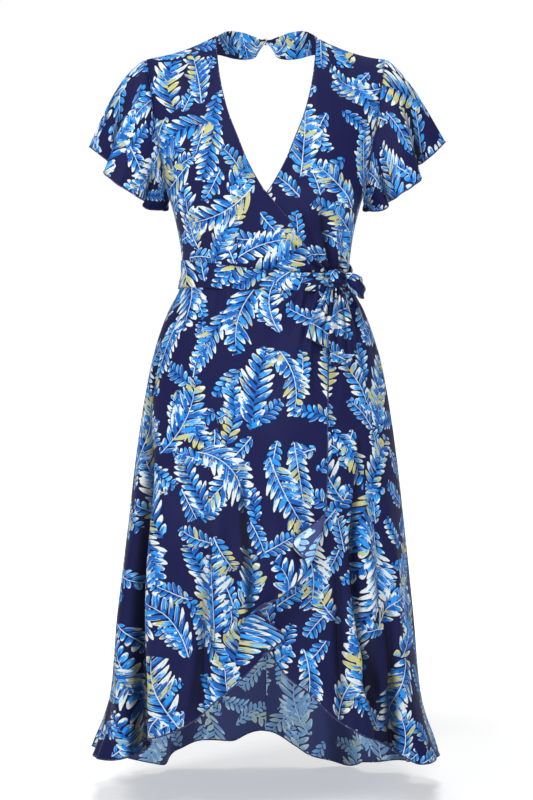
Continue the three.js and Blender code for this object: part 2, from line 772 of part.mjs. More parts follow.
// A tail hangs from the knot in front of the skirt, gathered at the top and cut on the slant.
function tail({ name, startX, endX, endZ, half, lean, lift }) {
  const rows = 9;
  const cols = 6;
  const startZ = KNOT.z - KNOT_HALF.z - TAIL_START;
  const grid = gridOf(rows, cols, (v, u) => {
    const side = u * 2 - 1;
    const width = lerp(TAIL_TOP_HALF, half, smooth(v * TAIL_SPREAD));
    const z = lerp(startZ, endZ + lean * side, v);
    const x = lerp(startX, endX, v) + side * width;
    const skirt = bodyPoint(angleAt(x, z), z).y;
    const wave = Math.cos(side * TAIL_GATHER.turns * 2 * Math.PI);
    const gather = TAIL_GATHER.deep * wave * (1 - TAIL_GATHER.fade * v);
    const hang = lerp(KNOT.y, skirt - lift, smooth(v * TAIL_SETTLE)) - gather;
    const y = Math.min(hang, skirt - TAIL_CLEAR);
    return new THREE.Vector3(x, y, z);
  });
  wall(name, grid.reverse(), CLOTH, false);
}

function napeBand(name, side) {
  const rows = 4;
  const cols = NAPE_BAND.length - 1;
  const grid = gridOf(rows, cols, (v, u) => {
    const row = NAPE_BAND[Math.round(u * cols)];
    const low = new THREE.Vector3(side * row.lowX, row.lowY, row.lowZ);
    return low.lerp(new THREE.Vector3(side * row.topX, row.topY, row.topZ), v);
  });
  if (side < 0) {
    grid.forEach((line) => line.reverse());
  }
  wall(name, grid, BAND_CLOTH, false);
}

const BUTTON = { radius: 4.5, thick: 3.6, x: -4, y: 74.7, z: 40 };

function napeButton() {
  const steps = 4;
  const profile = [new THREE.Vector2(0, 0), new THREE.Vector2(BUTTON.radius * 0.7, 0)];
  for (let i = 0; i <= steps; i += 1) {
    const a = (i / steps) * (Math.PI / 2);
    profile.push(new THREE.Vector2(
      BUTTON.radius * Math.cos(a),
      BUTTON.thick * (0.35 + 0.65 * Math.sin(a)),
    ));
  }
  profile[profile.length - 1].x = 0;
  const geometry = new THREE.LatheGeometry(profile, 16);
  const material = new THREE.MeshStandardMaterial({ color: GROUND_NAVY, roughness: 0.5, metalness: 0 });
  const mesh = new THREE.Mesh(geometry, material);
  mesh.name = 'nape_button';
  mesh.position.set(BUTTON.x, BUTTON.y, BUTTON.z);
  dress.add(mesh);
}

bodiceFront('bodice_front_over', -1, 15, (angle) => overLift(angle));
bodiceFront('bodice_front_under', 1, 15, () => 0);
bodiceBack('bodice_back_left', -1, 9);
bodiceBack('bodice_back_right', 1, 9);
napeBand('nape_band_left', -1);
napeBand('nape_band_right', 1);
napeButton();
SLEEVES.forEach(sleeve);
beltStretch('belt_front', -89.9, 50, 24);
beltStretch('belt_back', 50.4, 269.9, 36);
knot();
bowLoop();
TAILS.forEach(tail);
skirtFront('skirt_front_over', -1, 26, 28, CASCADE_EDGE, OVER_HEM, overLift, true);
skirtFront('skirt_front_under', 1, 22, 22, UNDER_EDGE, UNDER_HEM, () => 0, false);
skirtBack('skirt_back_right', 90, 180);
skirtBack('skirt_back_left', 180, 270);

export default dress;
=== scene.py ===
import math

import bpy
import numpy as np
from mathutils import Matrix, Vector


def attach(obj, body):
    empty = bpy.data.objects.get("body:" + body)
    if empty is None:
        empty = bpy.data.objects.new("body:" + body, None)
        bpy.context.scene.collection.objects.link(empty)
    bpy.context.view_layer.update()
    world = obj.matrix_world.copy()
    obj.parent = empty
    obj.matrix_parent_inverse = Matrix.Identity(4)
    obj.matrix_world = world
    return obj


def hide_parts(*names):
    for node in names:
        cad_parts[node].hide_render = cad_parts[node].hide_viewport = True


# A wrap dress with flutter sleeves, dressed over its solids. Lengths are in millimetres until a mesh is made.
# Angles run round the body: 0 at the front centre, 90 at the side of +X, 180 at the back centre.
MM = 0.001

# Camera: the photograph's height, tilt and lens, for a frame of 533 by 800.
FRAME_HIGH = 800
CAMERA_AT = (0.0, -2.700, -0.437)
CAMERA_LOOKS_AT = (0.0, 0.0, -0.507)
FOCAL_PIXELS = 1800.6
SENSOR = 24
SIDE_SHIFT = 0.2

# Stage, in metres: the floor, whose glow grows with the distance from the dress, the sky's strength as
# seen and as light, and the soft lights, each with its place, size and power.
FLOOR_LEVEL = -1.104
FLOOR_NEAR = -8
FLOOR_FAR = 40
FLOOR_COLOUR = (0.72, 0.72, 0.72, 1)
WHITE = (1, 1, 1, 1)
GLOW_FROM = (1.1, 2.2)
GLOW_NEAR = 0.44
SKY_SEEN = 1.0
SKY_LIGHT = 0.25
LIGHTS_AIM = (0, 0, -0.5)
LIGHTS = [
    ("key", (-2.1, -2.3, 2.0), 1.2, 62), ("top", (0.0, -1.7, 2.6), 0.8, 60), ("fill", (2.6, -2.8, 0.2), 2.0, 16),
    ("low", (-0.2, -3.0, -1.0), 0.8, 36), ("rim", (0.2, 1.0, 2.4), 1.6, 26),
]

# Cloth: its thickness, single, in the tie's ends and in the doubled bands, then how far the layer that
# lies over is lifted, and where round the body that lift begins and how many degrees it takes.
CREPE = 0.7
TIE_END = 1.0
DOUBLED = 1.3
LAYER_STEP = 2.5
OVER_START = -88
OVER_SPREAD = 26

# The figure's shoulders, and the levels of the seams.
NECK_HALF = 75
SHOULDER_HALF = 178
SHOULDER_DROP = 32
SHOULDER_CURVE = 1.7
SHOULDER_LEVEL = 34.8
SHOULDER_GAP = 0.65
UNDERARM_LEVEL = -208
BODICE_LEVEL = -319.6
SKIRT_LEVEL = -320.4
SIDE_HEM_LEVEL = -1031
SIDE = 90
SIDE_SHARE = 0.4
SEAM_DIP = 0.9
SEAM_HALF = 2.2
FLARE_LEVEL = -1000.0
FLARE_LENGTH = 680
ARM_FADE = 8

# How far the troughs may sink: in the bodice fronts, and in the over skirt, where the other lies behind it
# and at the side beyond.
OVER_LOWEST = 0.2
UNDER_LOWEST = -6
SINK_NEAR = -1.2
SINK_FAR = -30
SINK_FROM = 84
SINK_SPREAD = 30

# Radius of the rolled hems.
HEM_ROLL = 1.2
SLEEVE_ROLL = 0.9 * HEM_ROLL
NECK_ROLL = 0.8
TAIL_ROLL = 0.7

# Rows and columns of each kind of piece.
BODICE_ROWS = 110
FRONT_COLUMNS = 90
BACK_COLUMNS = 60
SKIRT_FRONT_GRID = (210, 150)
SKIRT_BACK_GRID = (200, 120)
SLEEVE_GRID = (60, 300)
KNOT_GRID = (60, 97)
LOOP_GRID = (40, 120)
TAIL_GRID = (70, 50)
BAND_GRID = (24, 80)
BELT_ROWS = 26
BELT_COLUMNS_A_DEGREE = 2.2


def table(names, rows):
    """A table by columns: the names in one string, then a row of numbers each."""
    return dict(zip(names.split(), np.array(rows, float).T))


# The figure that the dress is cut for, a ring a row.
RINGS = table("level half front back square roof mid", [
    (36, 178, 0, 0, 2.3, 1, 8),
    (24, 178, 14, 15, 2.3, 1, 7),
    (6, 178.5, 25, 32, 2.3, 1, 6),
    (-25, 178, 45, 54, 2.3, 0.95, 4),
    (-55, 177, 61, 70, 2.35, 0.8, 3),
    (-89, 173, 76, 84, 2.4, 0.5, 1),
    (-126, 165, 91, 95, 2.5, 0.2, 0),
    (-161, 156, 102, 102, 2.6, 0.05, 0),
    (-197, 147, 107, 104, 2.6, 0, 0),
    (-215, 141.5, 107, 103, 2.55, 0, 0),
    (-250, 132.6, 102, 98, 2.4, 0, 0),
    (-282, 127.2, 96, 93, 2.3, 0, 0),
    (-312, 124.5, 92, 91, 2.25, 0, 0),
    (-342, 130, 94, 97, 2.25, 0, 0),
    (-372, 145, 103, 108, 2.25, 0, 0),
    (-402, 157, 110, 119, 2.25, 0, 0),
    (-447, 170.5, 118, 131, 2.25, 0, 0),
    (-507, 182.5, 125, 140, 2.25, 0, 0),
    (-597, 195.5, 135, 150, 2.25, 0, 0),
    (-717, 209, 146, 161, 2.25, 0, 0),
    (-838, 221.5, 155, 171, 2.25, 0, 0),
    (-929, 230, 161, 178, 2.25, 0, 0),
    (-989, 243, 167, 184, 2.25, 0, 0),
    (-1032, 258, 173, 190, 2.25, 0, 0),
    (-1100, 274, 180, 198, 2.25, 0, 0),
])

# Large folds of the skirt: angle at the start and at the hem, level of the start, how far the fold
# stands out at the hem and its half width there in degrees.
SKIRT_FOLDS = [
    (-66, -45, -420, -24, 6.5), (-52, -34, -560, 9, 8), (-80, -66, -640, 8, 12), (-24, -19, -640, -7, 7),
    (22, 14, -700, -6, 7), (36, 29, -640, 8, 8), (52, 43, -560, -22, 6.5), (66, 60, -600, 8, 12),
    (92, 88, -820, -7, 7), (-92, -88, -860, -6, 7), (104, 106, -700, 9, 9), (116, 119, -480, -17, 7),
    (130, 132, -640, 12, 8), (142, 145, -560, -15, 6), (156, 157, -660, 12, 7), (167, 168, -520, -13, 6),
    (180, 180, -700, 8, 8), (-166, -167, -600, -12, 6), (-154, -155, -680, 11, 8), (-141, -141, -500, -15, 7),
    (-128, -127, -640, 11, 8), (-115, -113, -560, -14, 7), (-102, -100, -760, 8, 8),
]
FOLD_GROWTH = 1.5
FOLD_NARROW = 0.75
FOLD_LIMIT = 1.1

BACK_HEM = table("angle level", [
    (90, -1031), (104, -1056), (120, -1074), (133, -1083), (145, -1088), (155, -1101), (163, -1090), (172, -1070),
    (181, -1045), (190, -1060), (199, -1059), (208, -1073), (216, -1092), (226, -1082), (240, -1062), (256, -1041),
    (270, -1031),
])

# Front edges seen from the front, x and z. Those of the bodice are of the front that lies over.
WRAP_EDGE = [(88, -319.6), (76, -308), (61, -289), (47, -267), (34, -246), (17, -226), (1, -208)]
NECK_EDGE = [(1, -208), (-9, -194), (-27, -161), (-41, -126), (-55, -89), (-64, -55), (-69.5, -25), (-73, 6),
             (-75, 34.8)]
BACK_EDGE = [(0.3, -240), (16, -236), (42, -217), (65, -182), (79, -140), (85, -95), (84, -50), (79, 0),
             (75, 34.8)]
CASCADE_EDGE = [(87, -320.4), (88, -400), (88, -480), (88, -560), (87, -640), (77, -690), (60, -732),
                (34, -764), (12, -796), (4, -828), (-8, -864)]
OVER_HEM = [(-8, -864), (-30, -893), (-66, -928), (-104, -962), (-140, -983), (-172, -996), (-205, -1023),
            (-235, -1030), (-257.6, -1031)]
UNDER_EDGE = [(-87, -320.4), (-87, -440), (-84, -560), (-76, -660), (-58, -740), (-32, -800), (-2, -852)]
UNDER_HEM = [(-2, -852), (12, -873), (32, -899), (62, -921), (95, -956), (135, -983), (176, -999), (207, -1028),
             (234, -1034), (257.6, -1031)]

ARMHOLE = table("level front back", [
    (-208, 0, 0), (-198, 8, 9), (-178, 14, 17), (-142, 19, 25), (-104, 22, 28), (-66, 22, 28), (-28, 19.5, 24),
    (4, 14, 17), (25, 7, 8), (34.8, 0, 0),
])

# How the cascade's edge really runs: it turns out in a first lobe, folds in behind it, and turns out again.
# Share of the edge's length, x and z seen from the front, lift off the skirt.
CASCADE_LOBES = table("share x z lift", [
    (0.30, 88, -488, 0), (0.50, 87, -600, 6), (0.58, 84, -650, 15), (0.64, 77, -684, 19), (0.70, 66, -721, 21),
    (0.755, 45, -758, 21), (0.80, 21, -779, 20), (0.845, -11, -794, 20), (0.87, -14, -800, 6), (0.895, 2, -816, 3),
    (0.925, 26, -838, 12), (0.955, 10, -852, 13), (1.0, -8, -866, 7),
])
CASCADE_REACH = 0.42
CASCADE_GROWTH = 1.6

# The cascade's corner that is turned back: its width past the fold line, against the width of the panel,
# its place down the edge, and how it bends and rises. The way out is measured from the column FLAP_ROOT.
FLAP = 44
SKIRT_WIDE = 210
FLAP_AT = 0.67
FLAP_SPREAD = 0.045
FLAP_BEND = 3.0
FLAP_RISE = 0.45
FLAP_ROOT = 112

# The lift that makes a full trough, and so the full shade painted into a fold.
SKIRT_TROUGH = 13
BODICE_TROUGH = 6
BELT_TROUGH = 2.2
TAIL_TROUGH = 4
KNOT_TROUGH = 0.14
FOLD_SHARE = 0.5

# Hem of both sleeves: the turn round the arm from the tip over the front to the underarm and back, and
# the hem's place there, given for either as if it were at -X.
SLEEVE_HEM = table("turn left_x left_y left_z right_x right_y right_z", [
    (0, -264, 4, -128, -267, 4, -121), (16, -248, -14, -141, -250, -14, -139),
    (30, -231, -16, -154, -232, -16, -154), (38, -227, -24, -160, -220, -24, -162),
    (50, -238, -60, -171, -227, -60, -180), (66, -223, -80, -186, -213, -80, -194),
    (84, -203, -84, -200, -198, -84, -204), (102, -182, -66, -212, -184, -66, -213),
    (112, -178, -40, -214, -178, -40, -215), (126, -181, -46, -220, -179, -46, -221),
    (142, -168, -34, -225, -164, -34, -227), (160, -153, -18, -225, -151, -18, -226),
    (180, -146, 2, -217, -144, 2, -219), (205, -156, 32, -214, -154, 32, -214),
    (225, -168, 46, -208, -164, 48, -208), (245, -174, 74, -202, -178, 74, -201),
    (262, -194, 88, -190, -192, 88, -190), (278, -202, 74, -180, -206, 74, -178),
    (295, -222, 76, -166, -218, 78, -164), (312, -232, 52, -152, -233, 54, -148),
    (332, -247, 34, -140, -249, 32, -134), (360, -264, 4, -128, -267, 4, -121),
])
SLEEVE_RISE = 20
SLEEVE_START = 0.6
SLEEVE_STAND = 1.6
SLEEVE_MIDDLE = (204, 2, -172)
SLEEVE_OVAL = (56, 72, 44, 22)
SLEEVE_WAVES = [(11, 0.6, 2.2), (19, 2, 1.4)]

# Shade painted into the troughs of the sleeves, bands that shape nothing: turn, half width in degrees, depth of the
# shade. Small waves of a hem: how many to a full turn, where they start, how high they are.
SLEEVE_SHADE_BANDS = [(32, 8, 0.8), (116, 12, 1.0), (160, 14, 0.6), (205, 12, 0.6), (278, 12, 0.6)]
HEM_WAVES = [(17, 0.8, 0.5), (29, 2.1, 0.35), (43, 0.3, 0.2)]
FLUTTER_HIGH = 4.2
FLUTTER_REACH = 170

# The waist tie: levels of its edges, its lift off the panels, and the middle and half sizes of its knot.
BELT_LOW = -341
BELT_TOP_SIDE = -299
BELT_TOP_KNOT = -322
BELT_LIFT = 2.4
BELT_SAG = 7
KNOT = (100, -84.2, -328)
KNOT_HALF = (15, 11.5, 13)
KNOT_CUT = (14, 15)
LOOP_WIDE = 31
LOOP_FROM = (130, -80, -337)
TAIL_NARROW = 5
LOOP_PATH = [(116.6, -86, -329), (124, -93, -332), (133, -93, -336), (140, -87, -340), (143, -78, -342),
             (139, -69, -342), (130, -67, -338), (122, -72, -334), (116.6, -79.5, -330)]
NAPE_BAND = table("top_x top_y top_z low_x low_y low_z", [
    (75.6, 10.5, 36, 78.2, 31, 14), (68, 27, 44, 69, 40, 14), (60, 40, 50, 61, 50, 13.5), (50, 52, 53, 50, 59, 12),
    (37, 62, 52.5, 37, 66, 11.5), (24, 68, 49, 27, 70, 12.6), (14, 71.5, 46, 17.5, 72, 15.5),
    (7, 73, 43.5, 9, 73, 29), (0.4, 73.5, 43, 0.4, 73.5, 39),
])
BAND_WIDE = 38
BAND_FROM = (0, 20, 30)
THREAD_AT = (1.6, 75.6, 40.4)
THREAD_HALF = (9.6, 4.6)
THREAD_RADIUS = 0.45
THREAD_POINTS = 40

# Where each flat cut lies on the printed cloth: its turn in degrees, then its place.
PRINT_PLACES = {
    "bodice_front_over": (24, (310, 90)), "bodice_front_under": (-20, (905, 240)),
    "bodice_back_left": (-8, (1200, 400)), "bodice_back_right": (8, (1800, 400)),
    "skirt_front_over": (-6, (60, 1300)), "skirt_front_under": (9, (1130, 1700)),
    "skirt_back_right": (5, (2230, 925)), "skirt_back_left": (5, (2320, 925)),
    "sleeve_left": (-30, (50, 2600)), "sleeve_right": (30, (750, 2600)),
    "belt_front": (4, (2410.1, 3300)), "belt_back": (4, (2550.4, 3300)), "tie_knot": (20, (2900, 3600)),
    "bow_loop": (70, (3058, 3052)), "tie_tail_short": (60, (3373, 2500)), "tie_tail_long": (15, (3412, 2500)),
    "nape_band_left": (12, (3300, 1200)), "nape_band_right": (12, (3700, 1200)),
}

# Creases laid in on a front or back, each a soft valley or ridge along a line seen from the
# front: from x z, to x z, half width at the start and the end, depth.
OVER_BODICE_CREASES = [
    (86, -316, 26, -246, 2.5, 5, 5.5), (80, -318, 12, -262, 2.5, 6, -4.5), (74, -318, -2, -276, 2.5, 6, 5.0),
    (68, -320, -16, -290, 2.5, 6, -3.5), (62, -320, -34, -302, 2.5, 6, 3.2), (50, -320, -50, -312, 2, 5, -2.4),
    (86, -312, 52, -264, 1.8, 3.5, -3.5), (-82, -318, -80, -206, 1.8, 3.0, -3.4), (-60, -316, -44, -230, 5, 12, 2.4),
    (-108, -312, -104, -226, 4, 9, 2.6), (-10, -196, -60, -120, 6, 14, -2.6), (-120, -210, -96, -150, 6, 12, 2.6),
    (-112, -60, -122, 0, 6, 12, -2.4), (-40, -210, -92, -176, 8, 16, 2.6), (-30, -250, -70, -226, 6, 12, -2.2),
]
UNDER_BODICE_CREASES = [
    (86, -314, 40, -216, 2.5, 5, -5.5), (92, -316, 58, -206, 2.5, 6, 5.5), (98, -316, 78, -200, 2.5, 5, -6.0),
    (103, -318, 96, -206, 2.5, 5, 4.5), (88, -312, 30, -238, 2, 4, 4.0), (110, -318, 112, -226, 2.5, 5, -4.5),
    (118, -316, 124, -240, 2.5, 6, 2.5), (14, -196, 62, -112, 6, 13, -2.6), (122, -214, 98, -156, 6, 12, 2.6),
    (110, -60, 122, 0, 6, 12, -2.4), (28, -206, 60, -150, 5, 12, 2.8), (92, -305, 90, -240, 1.8, 3, -3.0),
]
BACK_BODICE_CREASES = [
    (60, -316, 58, -216, 2.2, 4, -2.0), (24, -316, 34, -262, 4, 10, -1.4), (98, -310, 92, -230, 4, 9, 1.4),
    (108, -200, 92, -120, 6, 14, -1.6), (100, -60, 108, 4, 6, 13, 1.3), (124, -230, 84, -206, 4, 10, -1.2),
    (14, -300, 10, -252, 3, 8, 1.2), (78, -190, 100, -140, 5, 12, 1.4),
]
SKIRT_TOP_CREASES = [
    (-66, -322, -70, -452, 1.8, 3.2, -4.5), (-56, -330, -54, -460, 5, 12, 2.6), (-106, -324, -112, -420, 3, 7, 2.6),
    (-30, -324, -22, -410, 4, 10, -2.8), (14, -330, -4, -470, 5, 13, 4.0), (52, -332, 30, -480, 3, 10, 5.0),
    (66, -334, 54, -520, 2.5, 9, -4.5), (76, -336, 70, -560, 2.5, 8, 6.5), (84, -336, 82, -620, 2, 6, -5.0),
    (62, -334, 4, -400, 2.2, 7, 4.0), (70, -338, 36, -430, 2.2, 6, -4.5),
    (-16, -812, -34, -560, 7, 5, -16), (16, -790, 30, -540, 16, 12, 12), (-52, -870, -56, -560, 18, 12, 13),
    (-158, -430, -166, -660, 4, 8, -10), (-184, -1060, -162, -520, 12, 7, -32), (-146, -1000, -136, -560, 15, 11, 10),
    (-204, -1020, -186, -660, 12, 9, 8),
    (-106, -960, -100, -600, 10, 8, -9), (-80, -950, -76, -640, 14, 9, 7),
]
UNDER_SKIRT_CREASES = [
    (106, -340, 122, -490, 2.5, 7, -6.0), (112, -346, 140, -560, 3, 11, 5.5), (99, -346, 102, -560, 2.5, 8, 5.0),
    (134, -560, 156, -700, 6, 9, -4.5), (120, -348, 138, -460, 2.5, 7, -5.0), (126, -352, 150, -500, 3, 9, 3.5),
    (96, -600, 112, -800, 6, 12, -3.0), (60, -760, 84, -930, 8, 13, -4.0), (40, -700, 52, -890, 8, 12, 3.0),
    (157, -940, 141, -540, 9, 5, -22), (134, -900, 124, -600, 15, 10, 9), (180, -920, 166, -620, 12, 9, 8),
    (181, -1060, 172, -760, 11, 7, -24), (108, -980, 98, -680, 9, 7, -11), (84, -950, 78, -700, 12, 9, 6),
]
BACK_SKIRT_CREASES = [
    (58, -322, 62, -452, 2.4, 5, -3.0), (20, -324, 26, -470, 4, 11, 1.8), (96, -326, 108, -470, 4, 12, -2.2),
    (6, -420, 12, -640, 6, 13, -2.4), (120, -420, 140, -620, 6, 12, 2.4), (84, -520, 98, -720, 7, 12, 2.2),
]


def smooth(t):
    """The cubic step 3t^2 - 2t^3, held at 0 and 1 outside."""
    c = np.clip(t, 0, 1)
    return c * c * (3 - 2 * c)


def bell(d):
    return np.exp(-d * d)


def mix(a, b, t):
    return a + (b - a) * t


def ripple(angle, waves):
    """A sum of sines round a full turn."""
    return sum(np.sin(count * angle + start) * high for count, start, high in waves)


def column(rows, key, name, place):
    """Value of a column at each place: a cubic between rows, its slope at a row the harmonic mean of the
    slopes on both sides, or nought where they turn, so that it never overshoots."""
    at, value = rows[key], rows[name]
    if at[0] > at[-1]:
        at, value = at[::-1], value[::-1]
    rise = np.diff(value) / np.diff(at)
    slope = np.concatenate([rise[:1], np.zeros(len(rise) - 1), rise[-1:]])
    same = rise[:-1] * rise[1:] > 0
    total = np.where(same, rise[:-1] + rise[1:], 1)
    slope[1:-1] = np.where(same, 2 * rise[:-1] * rise[1:] / total, 0)
    i = np.clip(np.searchsorted(at, place, side="right") - 1, 0, len(at) - 2)
    span = at[i + 1] - at[i]
    t = np.clip((place - at[i]) / span, 0, 1)
    return ((2 * t**3 - 3 * t**2 + 1) * value[i] + (t**3 - 2 * t**2 + t) * span * slope[i]
            + (3 * t**2 - 2 * t**3) * value[i + 1] + (t**3 - t**2) * span * slope[i + 1])


def run(line):
    """How far along a line of points each lies: the sum of the steps up to it."""
    return np.concatenate([[0], np.cumsum(np.linalg.norm(np.diff(line, axis=0), axis=1))])


def spline(points, samples=600):
    """A smooth curve through points, as a function of the share of its length: between two points each
    coordinate is the uniform Catmull-Rom cubic of the four nearest, its ends repeated."""
    p = np.array(points, float)
    padded = np.vstack([p[:1], p, p[-1:]])
    s = np.linspace(0, len(p) - 1, samples)
    i = np.minimum(s.astype(int), len(p) - 2)
    t = (s - i)[:, None]
    a, b, c, d = (padded[i + k] for k in range(4))
    line = 0.5 * (2 * b + (c - a) * t + (2 * a - 5 * b + 4 * c - d) * t**2 + (3 * b - a - 3 * c + d) * t**3)
    reach = run(line)
    share = reach / reach[-1]
    return lambda u: np.stack([np.interp(u, share, line[:, k]) for k in range(p.shape[1])], axis=-1)


def ring(level):
    return {name: column(RINGS, "level", name, level) for name in RINGS if name != "level"}


def fold_out(angle, level):
    """How far the folds push the skirt out: a bell across each fold, growing below its start."""
    out = np.zeros(np.broadcast(angle, level).shape)
    for top, hem, start, stands, wide in SKIRT_FOLDS:
        t = np.clip((start - level) / (start - SIDE_HEM_LEVEL), 0, FOLD_LIMIT)
        away = angle - mix(top, hem, t)
        away = away - 360 * np.round(away / 360)
        out += stands * t**FOLD_GROWTH * bell(away / (wide * mix(FOLD_NARROW, 1, t)))
    return out


def shoulder_drop(x):
    share = np.clip((np.abs(x) - NECK_HALF) / (SHOULDER_HALF - NECK_HALF), 0, 1)
    return SHOULDER_DROP * (1 - (1 - share)**SHOULDER_CURVE)


def body_point(angle, level):
    """A point of the figure: a squared-off oval at each level, with the folds pushed out along the radius
    and the levels near the shoulder sloping down like a roof."""
    angle, level = np.broadcast_arrays(np.asarray(angle, float), np.asarray(level, float))
    row = ring(level)
    s, c = np.sin(np.radians(angle)), np.cos(np.radians(angle))
    power = 2 / row["square"]
    out = 1 + fold_out(angle, level) / row["half"]
    x = row["half"] * np.sign(s) * np.abs(s)**power * out
    depth = np.where(c > 0, -row["front"], row["back"])
    y = row["mid"] + depth * np.abs(c)**power * out
    return np.stack([x, y, level - row["roof"] * shoulder_drop(x)], axis=-1)


def unit(v):
    return v / np.maximum(np.linalg.norm(v, axis=-1, keepdims=True), 1e-9)


def body_normal(angle, level):
    turn, step = 1.5, 3
    lowest = np.minimum(level, SHOULDER_LEVEL - step)
    across = body_point(angle + turn, lowest) - body_point(angle - turn, lowest)
    up = body_point(angle, lowest + step) - body_point(angle, lowest - step)
    return unit(np.cross(across, up))


def on_body(angle, level, lift):
    return body_point(angle, level) + body_normal(angle, level) * np.asarray(lift)[..., None]


def angle_at(x, level):
    row = ring(level)
    share = np.clip(np.abs(x) / row["half"], 0, 1)
    return np.degrees(np.sign(x) * np.arcsin(share**(row["square"] / 2)))


def over_lift(angle):
    return LAYER_STEP * smooth((angle - OVER_START) / OVER_SPREAD)


def places(points):
    """Angle and level along the curve through points that are seen from the front."""
    line = spline(points)

    def at(t):
        p = line(np.clip(t, 0, 1))
        return angle_at(p[..., 0], p[..., 1]), p[..., 1]
    return at


def creases(table_rows, x, z):
    """Height of the listed creases: across each line a bell that widens from its start to its end, along
    it a rise at the start and a slow fade to the end."""
    height = np.zeros(np.broadcast(x, z).shape)
    for x0, z0, x1, z1, wide0, wide1, deep in table_rows:
        dx, dz = x1 - x0, z1 - z0
        length = math.hypot(dx, dz)
        t = ((x - x0) * dx + (z - z0) * dz) / length**2
        off = ((x - x0) * dz - (z - z0) * dx) / length
        bend = 0.06 * length * np.sin(np.pi * np.clip(t, 0, 1)) * math.sin(x0 + 3 * z1)
        wide = mix(wide0, wide1, np.clip(t, 0, 1))
        along = smooth((t + 0.06) / 0.16) * (1 - smooth((t - 0.45) / 0.6))
        height += deep * along * bell((off + bend) / wide)
    return height


# Shares of cloth round and down the figure, on a fine table of angles and levels.
ATLAS_ANGLES = np.linspace(-100, 280, 761)
ATLAS_LEVELS = np.linspace(-1112, 36, 288)


def atlas():
    """Cloth lengths over the figure: round it from the front centre at each level, and up it from the
    waist at each angle, as sums of the short steps between neighbouring points."""
    p = body_point(ATLAS_ANGLES[None, :], ATLAS_LEVELS[:, None])
    across = np.cumsum(np.linalg.norm(np.diff(p, axis=1, prepend=p[:, :1]), axis=-1), axis=1)
    up = np.cumsum(np.linalg.norm(np.diff(p, axis=0, prepend=p[:1]), axis=-1), axis=0)
    centre = np.searchsorted(ATLAS_ANGLES, 0)
    waist = np.searchsorted(ATLAS_LEVELS, -320)
    return across - across[:, centre:centre + 1], up - up[waist:waist + 1]


ACROSS, UP = atlas()


def cloth_at(angle, level):
    """Reads both cloth lengths between the table's points, by straight blends both ways."""
    a = np.clip((angle - ATLAS_ANGLES[0]) / (ATLAS_ANGLES[1] - ATLAS_ANGLES[0]), 0, len(ATLAS_ANGLES) - 1.001)
    b = np.clip((level - ATLAS_LEVELS[0]) / (ATLAS_LEVELS[1] - ATLAS_LEVELS[0]), 0, len(ATLAS_LEVELS) - 1.001)
    i, j = a.astype(int), b.astype(int)
    s, t = a - i, b - j
    return [mix(mix(m[j, i], m[j, i + 1], s), mix(m[j + 1, i], m[j + 1, i + 1], s), t) for m in (ACROSS, UP)]


def flared_cut(angle, level, middle):
    """Where the cloth of a flared skirt lies in its flat cut: a sector of a ring, because the cone of the
    skirt unrolls to one. The way down is the radius, the way round divided by the radius is the turn."""
    across, up = cloth_at(angle, level)
    start, _ = cloth_at(np.full_like(angle, middle), level)
    wide_top = cloth_at(np.array([SIDE]), np.array([SKIRT_LEVEL]))[0][0]
    wide_low = cloth_at(np.array([SIDE]), np.array([FLARE_LEVEL]))[0][0]
    spread = (wide_low - wide_top) / FLARE_LENGTH
    inner = wide_top / spread
    radius = inner - up
    turn = (across - start) / radius
    return np.stack([radius * np.sin(turn), inner - radius * np.cos(turn)], axis=-1)


def straight_cut(angle, level, middle):
    across, up = cloth_at(angle, level)
    start, _ = cloth_at(np.full_like(angle, middle), level)
    return np.stack([across - start, up], axis=-1)


def turned(cut, degrees, shift):
    """The cut laid on the printed cloth: turned and moved."""
    a = math.radians(degrees)
    spin = np.array([[math.cos(a), -math.sin(a)], [math.sin(a), math.cos(a)]])
    return cut @ spin.T + np.array(shift, float)


def cut_size(cut):
    """Width, length and area of a flat cut in metres: its box, and the sum of its cells' areas by the
    cross product of their diagonals."""
    d1 = cut[1:, 1:] - cut[:-1, :-1]
    d2 = cut[:-1, 1:] - cut[1:, :-1]
    area = np.abs(d1[..., 0] * d2[..., 1] - d1[..., 1] * d2[..., 0]).sum() / 2
    wide, high = np.ptp(cut.reshape(-1, 2), axis=0)
    return (wide * MM, high * MM), area * MM * MM


def add(name, data):
    obj = bpy.data.objects.new(name, data)
    bpy.context.scene.collection.objects.link(obj)
    return obj


def aim(obj, place, target):
    obj.location = place
    obj.rotation_euler = (Vector(target) - Vector(place)).to_track_quat("-Z", "Y").to_euler()


def build_mesh(name, points, faces, uv, materials, weld=None, caps=(), trough=None):
    """A mesh from a grid's points and faces, with the points' places in the flat cloth as its UV map. weld
    gives for each point the one that it is joined to, caps are faces that close its ends, and the fold depth of
    each point, 1 in a trough of the right side and -1 in one of the wrong side, is kept as an attribute that
    sets the shade painted there."""
    mesh = bpy.data.meshes.new(name)
    corner = np.concatenate([faces.ravel(), *caps]).astype(int)
    joined_to = corner if weld is None else weld[corner]
    used, index = np.unique(joined_to, return_inverse=True)
    split = np.cumsum([4] * len(faces) + [len(cap) for cap in caps])[:-1]
    mesh.from_pydata((points.reshape(-1, 3)[used] * MM).tolist(), [], [f.tolist() for f in np.split(index, split)])
    mesh.update()
    layer = mesh.uv_layers.new(name="cloth")
    layer.data.foreach_set("uv", (uv.reshape(-1, 2) * MM)[corner].ravel())
    mesh.polygons.foreach_set("use_smooth", np.ones(len(mesh.polygons), bool))
    # The depth in the folds, which the materials turn into painted shade.
    if trough is not None:
        mesh.attributes.new("trough", "FLOAT", "POINT").data.foreach_set("value", np.ravel(trough)[used])
    obj = add(name, mesh)
    for material in materials:
        mesh.materials.append(material)
    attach(obj, "root")
    return obj


